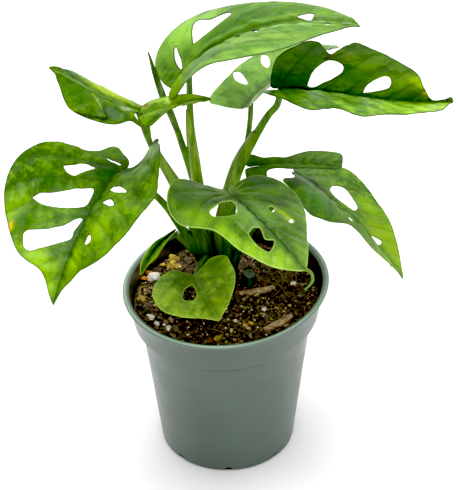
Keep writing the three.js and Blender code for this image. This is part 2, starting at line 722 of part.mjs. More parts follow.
const NEW_LEAF_PATH = [[-22.8, 12.9, 187.1], [-26, 11, 199], [-29, 9, 209], [-32, 7, 222], [-35, 4, 237]];
const NEW_LEAF_RADII = [1.6, 2, 1.8, 1.3, 0.4];

// Where a petiole ends: below the blade's petiole notch, clear of its underside.
function petioleEnd(leaf, previous, radius) {
  const surface = grownSurface(leaf);
  const notch = surface(0, 0);
  const along = surface(0, 2).sub(notch).normalize();
  const right = surface(2, 1).sub(surface(0, 1));
  const left = surface(-2, 1).sub(surface(0, 1));
  const across = right.sub(left).normalize();
  const normal = new THREE.Vector3().crossVectors(across, along);
  const arriving = notch.clone().sub(new THREE.Vector3(...previous)).normalize();
  const slant = Math.sqrt(Math.max(0, 1 - arriving.dot(normal) ** 2));
  return notch.addScaledVector(normal, -(BLADE_THICKNESS / 2 + GAP + 0.1 + radius * slant)).toArray();
}

function makeStem(stem) {
  const [x, y] = stem.foot;
  const foot = tube([[x, y, STEM_FOOT], [x, y, 92], [x, y, stem.top]], [FOOT_RADIUS, FOOT_RADIUS, 3], 10);
  const petioles = stem.petioles.map(({ leaf: leafName, path, radii }) => {
    const leaf = LEAVES.find(({ name }) => name === leafName);
    const end = leaf ? [petioleEnd(leaf, path.at(-1), radii.at(-1))] : [];
    return tube([...path, ...end], radii);
  });
  return union([foot, ...petioles]);
}

// ---------------------------------------------------------------- what lies on the soil

function pebble(radius, [x, y], [sx, sy, sz], turn, grow = 0) {
  const geometry = new THREE.IcosahedronGeometry(radius, 1);
  const position = geometry.attributes.position;
  for (let i = 0; i < position.count; i += 1) {
    const p = new THREE.Vector3().fromBufferAttribute(position, i);
    const bump = 1 + 0.12 * Math.sin(3 * p.x + turn) * Math.cos(2.6 * p.y - turn);
    p.multiplyScalar(bump);
    position.setXYZ(i, p.x * sx, p.y * sy, p.z * sz);
  }
  const size = radius * Math.min(sx, sy, sz);
  geometry.scale((size + grow) / size, (size + grow) / size, (size + grow) / size);
  geometry.rotateZ(turn);
  geometry.translate(x, y, SOIL_TOP + soilRelief(x, y) + radius * sz * 0.45);
  return toManifold(geometry);
}

// A flake of bark: a tapered strip with a ridge, lying nearly flat.
function barkStrip({ from, to, width, thickness, rise }, grow = 0) {
  const [dx, dy] = [to[0] - from[0], to[1] - from[1]];
  const length = Math.hypot(dx, dy) + 2 * grow;
  const geometry = new THREE.BoxGeometry(length, width + 2 * grow, thickness + 2 * grow, 6, 2, 1);
  const position = geometry.attributes.position;
  for (let i = 0; i < position.count; i += 1) {
    const s = position.getX(i) / length;
    const taper = 1 - 0.45 * Math.abs(s * 2) ** 3;
    position.setY(i, position.getY(i) * taper);
    const ridge = 0.25 * thickness * Math.cos((position.getY(i) / width) * Math.PI);
    position.setZ(i, position.getZ(i) + ridge + rise * s * s * 4);
  }
  geometry.rotateZ(Math.atan2(dy, dx));
  const [x, y] = [(from[0] + to[0]) / 2, (from[1] + to[1]) / 2];
  geometry.translate(x, y, SOIL_TOP + soilRelief(x, y) + thickness * 0.35);
  return toManifold(geometry);
}

const PERLITE = [
  { radius: 3.2, at: [-38, 15.5], stretch: [1.1, 1, 0.8], turn: 0.4 },
  { radius: 1.5, at: [-38.5, -17.5], stretch: [1, 1.2, 0.9], turn: 1.1 },
  { radius: 1.3, at: [-35.5, -23.5], stretch: [1.2, 1, 0.9], turn: 2.3 },
  { radius: 1.4, at: [-29.5, -27], stretch: [1.2, 1, 0.8], turn: 0.9 },
  { radius: 1.3, at: [20, -14], stretch: [1, 1, 0.9], turn: 0.2 },
  { radius: 1.5, at: [36, 8], stretch: [1, 1.1, 0.8], turn: 1.9 },
];
const CHIPS = [
  { radius: 2.4, at: [-27.5, 31.5], stretch: [1.3, 0.8, 0.6], turn: 0.3 },
  { radius: 2.6, at: [-27.5, 25.5], stretch: [1.6, 0.8, 0.6], turn: 2.9 },
  { radius: 2.2, at: [-44, -3], stretch: [1, 1.1, 0.7], turn: 1.3 },
  { radius: 2, at: [-4, -36], stretch: [1.3, 0.8, 0.6], turn: 0.8 },
  { radius: 2.2, at: [28, 24], stretch: [1.3, 0.9, 0.6], turn: 1.7 },
];
const BARK = [
  { from: [7.5, 0.5], to: [26, 5.5], width: 4.2, thickness: 1.6, rise: 0.3 },
  { from: [20, -31.5], to: [34, -20.5], width: 4.4, thickness: 1.7, rise: 0.4 },
];
const STUMP = { at: [12.5, 9.5], radius: 3.7, top: 99.5 };

// ---------------------------------------------------------------- assembly

const plant = new THREE.Group();
plant.add(namedMesh("pot", makePot(), COLOURS.pot, 0.45));

const cutters = [];
for (const stem of STEMS) {
  const solid = makeStem(stem);
  plant.add(namedMesh(stem.name, fromManifold(solid), COLOURS.stem, 0.45));
  const hole = new THREE.CylinderGeometry(FOOT_RADIUS + GAP, FOOT_RADIUS + GAP, 40, 14);
  hole.rotateX(Math.PI / 2);
  hole.translate(stem.foot[0], stem.foot[1], STEM_FOOT - GAP + 20);
  cutters.push(toManifold(hole));
}
plant.add(namedMesh("new_leaf", tube(NEW_LEAF_PATH, NEW_LEAF_RADII), COLOURS.newLeaf, 0.4));

const [stumpX, stumpY] = STUMP.at;
const stump = (radius, low, high) => {
  const ends = [[stumpX, stumpY, low], [stumpX, stumpY, high]];
  return tube(ends, [radius, radius], 10);
};
plant.add(namedMesh("cut_stump", stump(STUMP.radius, 80, STUMP.top), COLOURS.newLeaf, 0.6));
cutters.push(toManifold(stump(STUMP.radius + GAP, 80 - GAP, 110)));

PERLITE.forEach(({ radius, at, stretch, turn }, i) => {
  const solid = pebble(radius, at, stretch, turn);
  plant.add(namedMesh(`perlite_${i + 1}`, fromManifold(solid), COLOURS.perlite, 0.9));
  cutters.push(pebble(radius, at, stretch, turn, GAP));
});
CHIPS.forEach(({ radius, at, stretch, turn }, i) => {
  const solid = pebble(radius, at, stretch, turn);
  plant.add(namedMesh(`bark_chip_${i + 1}`, fromManifold(solid), COLOURS.chip, 0.9));
  cutters.push(pebble(radius, at, stretch, turn, GAP));
});
BARK.forEach((strip, i) => {
  plant.add(namedMesh(`bark_strip_${i + 1}`, fromManifold(barkStrip(strip)), COLOURS.bark, 0.9));
  cutters.push(barkStrip(strip, GAP));
});
plant.add(namedMesh("soil", fromManifold(makeSoil(cutters)), COLOURS.soil, 0.95));

for (const leaf of LEAVES) {
  let geometry = bladeGeometry(leaf);
  if (leaf.dripTip) {
    geometry = fromManifold(union([geometry, tube(leaf.dripTip, [0.9, 0.8, 0.7, 0.4], 6, 3)]));
  }
  plant.add(namedMesh(leaf.name, geometry, leaf.colour, 0.4));
}

export default plant;
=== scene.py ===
"""Dresses a young potted Monstera adansonii: leaves with holes on sheathed petioles, in a nursery pot.

Sizes in the data are millimetres and angles are degrees. Meshes are made in metres, in the frame of the
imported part, and every random choice comes from a seeded generator.
"""

import logging
import math
import random
from collections.abc import Sequence
from dataclasses import dataclass
from enum import Enum
from functools import cached_property

import bpy
import numpy as np
from mathutils import Matrix, Vector, noise
from mathutils.geometry import delaunay_2d_cdt

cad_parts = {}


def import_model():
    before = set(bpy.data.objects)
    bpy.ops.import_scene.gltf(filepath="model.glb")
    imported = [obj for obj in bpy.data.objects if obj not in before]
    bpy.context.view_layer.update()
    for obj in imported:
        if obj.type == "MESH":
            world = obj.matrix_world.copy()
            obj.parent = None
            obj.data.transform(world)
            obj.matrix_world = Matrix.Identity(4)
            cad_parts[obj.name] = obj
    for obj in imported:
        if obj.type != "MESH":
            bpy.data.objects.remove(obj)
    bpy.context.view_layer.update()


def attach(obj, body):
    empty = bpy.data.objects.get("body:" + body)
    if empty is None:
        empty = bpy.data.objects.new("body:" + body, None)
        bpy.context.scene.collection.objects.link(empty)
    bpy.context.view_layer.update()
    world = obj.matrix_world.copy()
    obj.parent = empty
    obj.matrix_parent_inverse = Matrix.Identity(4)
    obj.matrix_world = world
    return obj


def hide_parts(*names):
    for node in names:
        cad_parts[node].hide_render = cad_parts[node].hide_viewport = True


MM = 0.001
LOG = logging.getLogger("plant")
Point = tuple[float, ...]
Points = Sequence[Point]
Colour = tuple[float, float, float]
Array = np.ndarray
Piece = bpy.types.Object
Material = bpy.types.Material
Socket = bpy.types.NodeSocket


class Slot(Enum):
    """The record's material slots."""

    LEAF_BLADE = "leaf_blade"
    PETIOLE = "petiole"
    ROLLED_LEAF = "rolled_leaf"
    POT = "pot"
    POTTING_MIX = "potting_mix"
    PERLITE = "perlite"
    BARK = "bark"


# ---- shared tools


def linear(red: int, green: int, blue: int) -> Colour:
    """Turns an 8-bit display colour into linear light."""
    return tuple((c / 255 / 12.92) if c <= 10 else ((c / 255 + 0.055) / 1.055) ** 2.4 for c in (red, green, blue))


def smoothstep(low: float, high: float, value: Array) -> Array:
    """Rises smoothly from 0 at low to 1 at high."""
    t = np.clip((value - low) / (high - low), 0.0, 1.0)
    return t * t * (3 - 2 * t)


def spline(points: Points, spacing: float, centripetal: bool = False) -> Array:
    """Runs an even row of points along a Catmull-Rom curve.

    Args:
        points: The points that the curve passes through.
        spacing: The distance from one new point to the next.
        centripetal: Whether the knots follow the square root of the distances, as on the petioles.

    Returns:
        The new points, one a row, from the first given point to the last.
    """
    p = np.array(points, float)
    p = np.vstack([2 * p[0] - p[1], p, 2 * p[-1] - p[-2]])
    if not centripetal:
        p[0], p[-1] = p[1], p[-2]
    fine = []
    for a, b, c, d in zip(p, p[1:], p[2:], p[3:]):
        u = np.linspace(0, 1, 40, endpoint=False)[:, None]
        if centripetal:
            t1, t2, t3 = (max(np.linalg.norm(w - v), 1e-6) ** 0.5 for v, w in ((a, b), (b, c), (c, d)))
            m1 = t2 * ((b - a) / t1 - (c - a) / (t1 + t2) + (c - b) / t2)
            m2 = t2 * ((c - b) / t2 - (d - b) / (t2 + t3) + (d - c) / t3)
        else:
            m1, m2 = (c - a) / 2, (d - b) / 2
        fine.append((2 * u**3 - 3 * u**2 + 1) * b + (u**3 - 2 * u**2 + u) * m1
                    + (3 * u**2 - 2 * u**3) * c + (u**3 - u**2) * m2)
    fine.append(p[-2][None])
    fine = np.vstack(fine)
    run = np.concatenate([[0], np.cumsum(np.linalg.norm(np.diff(fine, axis=0), axis=1))])
    count = max(2, round(run[-1] / spacing))
    at = np.linspace(0, run[-1], count + 1)
    return np.stack([np.interp(at, run, fine[:, k]) for k in range(p.shape[1])], 1)


def inside(points: Array, loop: Array) -> Array:
    """Tells which points lie inside a closed loop.

    Args:
        points: The points, one [x, y] a row.
        loop: The corners of the loop, one a row.

    Returns:
        One truth value a point.
    """
    x, y = points[:, 0:1], points[:, 1:2]
    (x1, y1), (x2, y2) = loop.T, np.roll(loop, 1, 0).T
    rise = np.where(y2 == y1, 1e-12, y2 - y1)
    return (((y1 > y) != (y2 > y)) & (x < (x2 - x1) * (y - y1) / rise + x1)).sum(1) % 2 == 1


def deselect() -> None:
    """Leaves nothing selected, in object mode."""
    if bpy.context.object and bpy.context.object.mode != "OBJECT":
        bpy.ops.object.mode_set(mode="OBJECT")
    bpy.ops.object.select_all(action="DESELECT")


def take(*pieces: Piece) -> None:
    """Selects only the given pieces, and makes the first of them active.

    Args:
        pieces: The pieces to select.
    """
    deselect()
    for piece in pieces:
        piece.select_set(True)
    bpy.context.view_layer.objects.active = pieces[0]


def joined(pieces: Sequence[Piece], name: str) -> Piece:
    """Joins pieces into the first of them.

    Args:
        pieces: The pieces to join.
        name: The joined piece's name.

    Returns:
        The joined piece.
    """
    take(*pieces)
    if len(pieces) > 1:
        bpy.ops.object.join()
    pieces[0].name = name
    return pieces[0]


def linked(name: str, data: bpy.types.ID) -> Piece:
    """Puts a new piece into the scene.

    Args:
        name: The piece's name.
        data: Its mesh, curve or camera.

    Returns:
        The new piece.
    """
    piece = bpy.data.objects.new(name, data)
    bpy.context.scene.collection.objects.link(piece)
    return piece


def meshed(name: str, points: Points, faces: Sequence[Sequence[int]]) -> Piece:
    """Makes a piece from points and the faces between them.

    Args:
        name: The piece's name.
        points: The vertices, in metres.
        faces: The numbers of each face's vertices.

    Returns:
        The new piece.
    """
    mesh = bpy.data.meshes.new(name)
    mesh.from_pydata(points, [], faces)
    return linked(name, mesh)


def edit(choice: str) -> None:
    """Goes to edit mode and selects or deselects the whole mesh."""
    bpy.ops.object.mode_set(mode="EDIT")
    bpy.ops.mesh.select_all(action=choice)


def close_edit() -> None:
    """Turns all faces of the mesh outwards and goes back to object mode."""
    bpy.ops.mesh.select_all(action="SELECT")
    bpy.ops.mesh.normals_make_consistent(inside=False)
    bpy.ops.object.mode_set(mode="OBJECT")


def settle(piece: Piece) -> None:
    """Moves a piece's place, turn and scale into its mesh."""
    take(piece)
    bpy.ops.object.transform_apply(location=True, rotation=True, scale=True)


def modify(piece: Piece, kind: str, **settings: object) -> None:
    """Adds a modifier and applies it.

    Args:
        piece: The piece that it changes.
        kind: The modifier's type.
        settings: The modifier's own properties.
    """
    take(piece)
    modifier = piece.modifiers.new(kind.lower(), kind)
    for key, value in settings.items():
        setattr(modifier, key, value)
    bpy.ops.object.modifier_apply(modifier=modifier.name)


def smooth(piece: Piece, degrees: float = 35) -> None:
    """Shades a piece smooth, but for its edges sharper than the angle."""
    take(piece)
    bpy.ops.object.shade_smooth_by_angle(angle=math.radians(degrees))


def coordinates(piece: Piece) -> Array:
    """Reads the places of a piece's vertices.

    Args:
        piece: The piece.

    Returns:
        The places in metres, one a row.
    """
    flat = np.empty(len(piece.data.vertices) * 3)
    piece.data.vertices.foreach_get("co", flat)
    return flat.reshape(-1, 3)


def set_coordinates(piece: Piece, places: Array) -> None:
    """Moves the piece's vertices to the given places."""
    piece.data.vertices.foreach_set("co", places.ravel())
    piece.data.update()


def attribute(piece: Piece, name: str, values: Array) -> None:
    """Stores one vector a vertex under the name, for the materials."""
    layer = piece.data.attributes.new(name, "FLOAT_VECTOR", "POINT")
    layer.data.foreach_set("vector", np.asarray(values, np.float32).ravel())


def spun(places: Array, angle: float) -> Array:
    """Turns places about the upright axis, by an angle in radians."""
    c, s = math.cos(angle), math.sin(angle)
    return places @ np.array([[c, s, 0], [-s, c, 0], [0, 0, 1]])


def bumps(x: float, y: float, layers: Sequence[tuple[float, float, Point]]) -> float:
    """Adds up layers of smooth noise.

    Args:
        x: The place to the right.
        y: The place to the back.
        layers: The height and scale of each layer, and the point that shifts it.

    Returns:
        The height of all layers.
    """
    total = 0.0
    for height, scale, (dx, dy, z) in layers:
        total += height * noise.noise(Vector((x * scale + dx, y * scale + dy, z)))
    return total


def dressed(piece: Piece, slot: Slot, *materials: Material, node: str = "") -> None:
    """Gives a piece its materials, and lets it ride on the plant's one body.

    Args:
        piece: The finished piece.
        slot: Not used.
        materials: The piece's materials, in the order of its material slots.
        node: The plain solid that the piece stands for, if there is one.
    """
    piece.data.materials.clear()
    for material in materials:
        piece.data.materials.append(material)
    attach(piece, "root")
    if node:
        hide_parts(node)
    LOG.info("%s: %d faces", piece.name, len(piece.data.polygons))


# ---- finishes

Value = Socket | float | Colour


class Graph:
    """A material's node tree, with short calls for the nodes that the finishes share."""

    def __init__(self, name: str) -> None:
        """Starts a material with an empty principled shader.

        Args:
            name: The material's name.
        """
        self.material = bpy.data.materials.new(name)
        self.material.use_nodes = True
        self.tree = self.material.node_tree
        self.shader = next(n for n in self.tree.nodes if n.type == "BSDF_PRINCIPLED")
        self.output = next(n for n in self.tree.nodes if n.type == "OUTPUT_MATERIAL")

    def put(self, socket: Socket, value: Value) -> None:
        """Links a socket, or sets its value, with a fourth channel for a colour.

        Args:
            socket: The input to fill.
            value: An output to link, or a number or colour to hold.
        """
        if isinstance(value, Socket):
            self.tree.links.new(value, socket)
        elif isinstance(value, (tuple, list)):
            socket.default_value = (*value, 1.0) if socket.type == "RGBA" else tuple(value)
        else:
            socket.default_value = value

    def add(self, kind: str, inputs: dict[object, Value], **settings: object) -> bpy.types.Node:
        """Adds a node, sets it and fills its inputs.

        Args:
            kind: The node's type name.
            inputs: A value or socket for each input, by its name or number.
            settings: The node's own properties.

        Returns:
            The new node.
        """
        node = self.tree.nodes.new(kind)
        for key, value in settings.items():
            setattr(node, key, value)
        for key, value in inputs.items():
            self.put(node.inputs[key], value)
        return node

    def math(self, operation: str, *values: Value, clamp: bool = False) -> Socket:
        """Gives the result of a Math node."""
        return self.add("ShaderNodeMath", dict(enumerate(values)), operation=operation, use_clamp=clamp).outputs[0]

    def layered(self, *layers: tuple[Value, float]) -> Socket:
        """Adds up values, each times its share.

        Args:
            layers: Each value and its share.

        Returns:
            The sum.
        """
        total = self.math("MULTIPLY", *layers[0])
        for layer in layers[1:]:
            total = self.math("ADD", total, self.math("MULTIPLY", *layer))
        return total

    def span(self, value: Value, low: float, high: float, start: float = 0.0, end: float = 1.0) -> Socket:
        """Maps value from low..high to start..end, smoothly and held at the ends."""
        inputs = {0: value, 1: low, 2: high, 3: start, 4: end}
        return self.add("ShaderNodeMapRange", inputs, interpolation_type="SMOOTHSTEP").outputs[0]

    def mix(self, share: Value, first: Value, second: Value, blend: str = "MIX") -> Socket:
        """Gives a mix of two colours."""
        node = self.add("ShaderNodeMix", {0: share, 6: first, 7: second}, data_type="RGBA", blend_type=blend)
        return node.outputs[2]

    def read(self, name: str) -> tuple[Socket, ...]:
        """Gives the three channels of a vertex attribute."""
        vector = self.add("ShaderNodeAttribute", {}, attribute_name=name).outputs["Vector"]
        return tuple(self.add("ShaderNodeSeparateXYZ", {0: vector}).outputs[:3])

    def place(self, stretch: Colour = (1.0, 1.0, 1.0)) -> Socket:
        """Gives object coordinates, stretched along the axes."""
        coordinate = self.add("ShaderNodeTexCoord", {}).outputs["Object"]
        return self.add("ShaderNodeMapping", {"Vector": coordinate, "Scale": stretch}).outputs[0]

    def height(self) -> Socket:
        """Gives the height over the ground, in metres."""
        return self.add("ShaderNodeSeparateXYZ", {0: self.place()}).outputs[2]

    def noise(self, scale: float, detail: float = 3.0, rough: float = 0.55, where: Value | None = None,
              bend: float = 0.0) -> Socket:
        """Adds cloudy noise.

        Args:
            scale: The number of clouds in a metre.
            detail: How many finer layers it has.
            rough: How strong the finer layers are.
            where: The coordinates that it follows, or None for the object's own.
            bend: How far the clouds are bent.

        Returns:
            The noise, from about 0 to 1.
        """
        vector = self.place() if where is None else where
        inputs = {"Vector": vector, "Scale": scale, "Detail": detail, "Roughness": rough, "Distortion": bend}
        return self.add("ShaderNodeTexNoise", inputs).outputs[0]

    def cells(self, scale: float, where: Value | None = None, feature: str = "F1") -> bpy.types.Node:
        """Gives a Voronoi node whose cell size is set by scale per metre."""
        vector = self.place() if where is None else where
        return self.add("ShaderNodeTexVoronoi", {"Vector": vector, "Scale": scale}, feature=feature)

    def finish(self, colour: Value, rough: Value, height: Value | None = None, relief: float = 0.0,
               **constants: float) -> Material:
        """Fills the principled shader.

        Args:
            colour: The base colour.
            rough: The roughness.
            height: The height that the bump follows, from 0 to 1.
            relief: The bump's full height in metres.
            constants: Values for further sockets, with underscores for the spaces in their names.

        Returns:
            The finished material.
        """
        self.put(self.shader.inputs["Base Color"], colour)
        self.put(self.shader.inputs["Roughness"], rough)
        if height is not None:
            bump = self.add("ShaderNodeBump", {"Height": height, "Distance": relief, "Strength": 1.0})
            self.put(self.shader.inputs["Normal"], bump.outputs[0])
        for key, value in constants.items():
            self.put(self.shader.inputs[key.replace("_", " ")], value)
        return self.material


# Marks give both the blade's own spots and painted light, sheen and shade; each finish tells which.
@dataclass(frozen=True)
class Mark:
    """A soft patch of colour on a blade: its middle, half sizes and turn on the flat blade, in mm and degrees."""

    at: Point
    size: Point
    colour: Colour
    strength: float = 0.7
    turn: float = 0.0


def marks(*rows: tuple) -> tuple[Mark, ...]:
    """Makes marks from rows of x, y, half width, half length, display colour, strength and, if any, turn."""
    return tuple(Mark((x, y), (wide, long), linear(*colour), *rest) for x, y, wide, long, colour, *rest in rows)


@dataclass(frozen=True)
class Palette:
    """The greens of a blade: in its hollows, on its face and where light comes through."""

    deep: Colour
    mid: Colour
    lime: Colour

    @classmethod
    def of(cls, *shades: tuple[int, int, int]) -> "Palette":
        """Makes a palette from three display colours."""
        return cls(*(linear(*shade) for shade in shades))


RICH = Palette.of((38, 70, 8), (71, 106, 11), (114, 146, 8))
PLAIN = Palette.of((36, 70, 14), (78, 116, 26), (122, 152, 26))
PALE = Palette.of((46, 80, 18), (86, 124, 40), (122, 152, 56))

VEIN_LIGHT = (0.45, 0.55, 0.3)
SOFT_GREEN = (0.7, 1.0, 0.25)


class BladeGraph(Graph):
    """A blade's material, which knows each place on the flat blade.

    across is the distance from the midrib, length the place along it, edge the distance from the margin, along
    the share of the way to the tip and off the distance from the nearest side vein.
    """

    def __init__(self, name: str) -> None:
        """Starts the material and reads the blade's attributes.

        Args:
            name: The material's name.
        """
        super().__init__(name)
        self.across, self.length, self.edge = self.read("place")
        number, gap, self.along = self.read("vein")
        away = self.math("ABSOLUTE", self.math("SUBTRACT", number, self.math("ROUND", number)))
        self.off = self.math("MULTIPLY", away, gap)

    def patch(self, mark: Mark, breakup: Value = 0.45) -> Value:
        """Gives a mark's share at each place on the flat blade.

        Args:
            mark: The mark.
            breakup: What breaks the mark's edge.

        Returns:
            From 0 outside the mark to its strength in the middle.
        """
        flat = self.add("ShaderNodeCombineXYZ", {0: self.across, 1: self.length}).outputs[0]
        inputs = {"Vector": flat, "Location": (*mark.at, 0.0), "Scale": (*mark.size, 1.0),
                  "Rotation": (0.0, 0.0, math.radians(mark.turn))}
        local = self.add("ShaderNodeMapping", inputs, vector_type="TEXTURE").outputs[0]
        reach = self.add("ShaderNodeVectorMath", {0: local}, operation="LENGTH").outputs["Value"]
        return self.span(self.math("ADD", reach, breakup), 1.75, 0.75, 0.0, mark.strength)

    def marked(self, colour: Value, spots: Sequence[Mark]) -> Value:
        """Lays marks over a colour, each with a broken edge.

        Args:
            colour: The colour under them.
            spots: The marks.

        Returns:
            The colour with the marks on it.
        """
        breakup = self.math("MULTIPLY", self.noise(420, 3.0, 0.6), 0.9)
        for mark in spots:
            colour = self.mix(self.patch(mark, breakup), colour, mark.colour)
        return colour


@dataclass(frozen=True)
class LeafFinish:
    """The colours and gloss of one leaf blade.

    tip, margin and mottle are the shares of lime at the tip, along the margin and in the clouds, the first two
    painting light that shines through the blade; sides multiplies the right and left halves with painted light,
    sheen and shade; vein, fan and groove are the strengths of the side veins, of their fan at the petiole and of
    the painted shade beside them; streak stretches the clouds along the blade; dull marks lose gloss.
    """

    name: str
    greens: Palette = PLAIN
    tip: float = 0.5
    margin: float = 0.3
    mottle: float = 0.5
    sides: tuple[Colour, Colour] = ((1.0, 1.0, 1.0), (1.0, 1.0, 1.0))
    vein: float = 0.14
    fan: float = 0.0
    spine: Colour = linear(150, 186, 92)
    spine_share: float = 0.3
    outline: Colour = linear(44, 80, 14)
    outline_share: float = 0.5
    rough: float = 0.38
    gloss: float = 0.3
    streak: float = 1.0
    groove: float = 0.14
    marks: Sequence[Mark] = ()
    under_marks: Sequence[Mark] = ()
    dull: Sequence[Mark] = ()

    def clouded(self, g: BladeGraph, broad: Value, middle: Value) -> Value:
        """Mixes the greens in clouds, with more lime between the veins, at the tip and along the margin.

        Args:
            g: The upper face's material.
            broad: The large clouds.
            middle: The smaller clouds.

        Returns:
            The colour under marks and veins.
        """
        deep, mid, lime = self.greens.deep, self.greens.mid, self.greens.lime
        shaded = tuple(0.7 * a + 0.3 * b for a, b in zip(deep, mid))
        colour = g.mix(g.span(broad, 0.34, 0.62), shaded, mid)
        # Fewer lime clouds close to the side veins: painted light on the raised quilting between them.
        bright = g.math("MULTIPLY", g.span(middle, 0.47, 0.66), g.span(g.off, 0.2, 2.4, 0.35, 1.0))
        colour = g.mix(g.math("MULTIPLY", bright, 0.8 * self.mottle), colour, lime)
        colour = g.mix(g.span(middle, 0.5, 0.34, 0.0, 0.9 * self.mottle), colour, deep)
        # Lime towards the tip: painted light shining through the blade.
        toward = g.math("MULTIPLY", g.span(g.along, 0.4, 1.0), g.span(broad, 0.3, 0.6, 0.6, 1.0))
        colour = g.mix(g.math("MULTIPLY", toward, self.tip), colour, lime)
        # Lime along the margin: painted light shining through the blade.
        rim = g.math("MULTIPLY", g.span(g.edge, 6.0, 0.6), g.span(broad, 0.35, 0.62, 0.2, 1.0))
        return g.mix(g.math("MULTIPLY", rim, self.margin), colour, lime)

    def vein_lines(self, g: BladeGraph) -> Value:
        """Draws the pale side veins, and their fan at the petiole where the blade has one.

        Args:
            g: The upper face's material.

        Returns:
            The share of pale green at each place.
        """
        line = g.span(g.off, 0.5, 0.1, 0.0, self.vein)
        if not self.fan:
            return line
        squares = g.math("ADD", g.math("MULTIPLY", g.across, g.across), g.math("MULTIPLY", g.length, g.length))
        near = g.math("MULTIPLY", g.span(g.math("POWER", squares, 0.5), 24.0, 3.0), self.fan)
        return g.math("ADD", line, g.math("MULTIPLY", near, g.span(g.off, 1.0, 0.2)), clamp=True)

    def upper(self) -> Material:
        """Makes the face that the leaf turns to the light.

        Returns:
            The material: clouded greens under marks, veins with painted shade beside them, painted shade along the
            midrib, the midrib and the outlined margin.
        """
        g = BladeGraph(f"{self.name}_upper")
        own_slice = float(sum(map(ord, self.name)) % 97)
        inputs = {0: g.across, 1: g.math("MULTIPLY", g.length, self.streak), 2: own_slice}
        flat = g.add("ShaderNodeCombineXYZ", inputs).outputs[0]
        broad, middle = g.noise(0.07, 2.0, 0.5, flat, 0.5), g.noise(0.3, 3.0, 0.6, flat, 0.5)
        # sides paints light, sheen and shade on the right and left halves.
        right, left = self.sides
        tint = g.mix(g.math("GREATER_THAN", g.across, 0.0), left, right)
        colour = g.marked(g.mix(1.0, self.clouded(g, broad, middle), tint, "MULTIPLY"), self.marks)
        line, spine, deep = self.vein_lines(g), g.math("ABSOLUTE", g.across), self.greens.deep
        for share, shade in (
            (line, tuple(0.6 * a + 0.4 * b for a, b in zip(self.greens.lime, VEIN_LIGHT))),
            # Painted shade in the grooves beside the side veins.
            (g.span(g.off, 1.6, 0.3, 0.0, self.groove), deep),
            # Painted shade along the midrib's groove.
            (g.span(spine, 4.2, 0.9, 0.0, 0.5), deep),
            (g.span(spine, 0.8, 0.35, 0.0, self.spine_share), self.spine),
            (g.span(g.edge, 0.75, 0.15, 0.0, self.outline_share), self.outline),
        ):
            colour = g.mix(share, colour, shade)
        net = g.span(g.cells(460, feature="DISTANCE_TO_EDGE").outputs["Distance"], 0.0, 0.2)
        height = g.layered((net, 0.12), (g.noise(1100, 2.0, 0.6), 0.2), (middle, 0.9), (line, -0.4))
        rough = g.span(middle, 0.3, 0.75, self.rough - 0.06, self.rough + 0.12)
        for mark in self.dull:
            rough = g.math("ADD", rough, g.math("MULTIPLY", g.patch(mark), 0.5), clamp=True)
        return g.finish(colour, rough, height, 0.0004, Subsurface_Weight=0.6, Subsurface_Scale=0.002,
                        Subsurface_Radius=(0.8, 1.0, 0.15), Specular_IOR_Level=self.gloss)

    def under(self) -> Material:
        """Makes the paler and duller underside.

        Returns:
            The material: one soft green with raised pale veins.
        """
        g = BladeGraph(f"{self.name}_under")
        pale = tuple(0.5 * a + 0.5 * b for a, b in zip(self.greens.mid, linear(140, 178, 96)))
        colour = g.mix(g.span(g.noise(120, 3.0), 0.3, 0.7), self.greens.mid, pale)
        line = g.math("MAXIMUM", g.span(g.off, 0.55, 0.15), g.span(g.math("ABSOLUTE", g.across), 1.3, 0.7))
        colour = g.mix(g.math("MULTIPLY", line, 0.45), colour, linear(158, 196, 110))
        colour = g.marked(colour, self.under_marks)
        return g.finish(colour, 0.6, g.layered((line, 0.6), (g.noise(700), 0.35)), 0.0003, Subsurface_Weight=0.28,
                        Subsurface_Scale=0.0012, Subsurface_Radius=SOFT_GREEN, Specular_IOR_Level=0.12)

    def rim(self) -> Material:
        """Makes the thin edge of the blade.

        Returns:
            The material.
        """
        g = Graph(f"{self.name}_edge")
        colour = g.mix(g.span(g.noise(130), 0.35, 0.65), self.outline, self.greens.mid)
        return g.finish(colour, 0.45)


@dataclass(frozen=True)
class StemFinish:
    """The streaked green of petioles and their sheaths."""

    name: str
    dark: Colour
    light: Colour
    rough: float = 0.38

    def make(self) -> Material:
        """Makes the material.

        Returns:
            Long streaks with fine flecks, and painted shade that darkens them towards the foot.
        """
        g = Graph(self.name)
        streak, broad = g.noise(420, 3.0, 0.6, g.place((1.0, 1.0, 0.09))), g.noise(60, 2.0)
        colour = g.mix(g.span(streak, 0.34, 0.68), self.dark, self.light)
        for share, shade in (
            (g.span(broad, 0.45, 0.75, 0.0, 0.5), self.light),
            (g.span(g.noise(1600, 1.0), 0.66, 0.74, 0.0, 0.35), linear(176, 196, 110)),
            # Painted shade, darkening the stalks towards the soil.
            (g.span(g.height(), 0.094, 0.138, 0.8, 0.0), linear(32, 54, 14)),
        ):
            colour = g.mix(share, colour, shade)
        rough = g.span(broad, 0.3, 0.7, self.rough - 0.05, self.rough + 0.1)
        return g.finish(colour, rough, g.layered((streak, 0.7), (g.noise(1500), 0.3)), 0.0003,
                        Subsurface_Weight=0.15, Subsurface_Scale=0.0015, Subsurface_Radius=SOFT_GREEN)


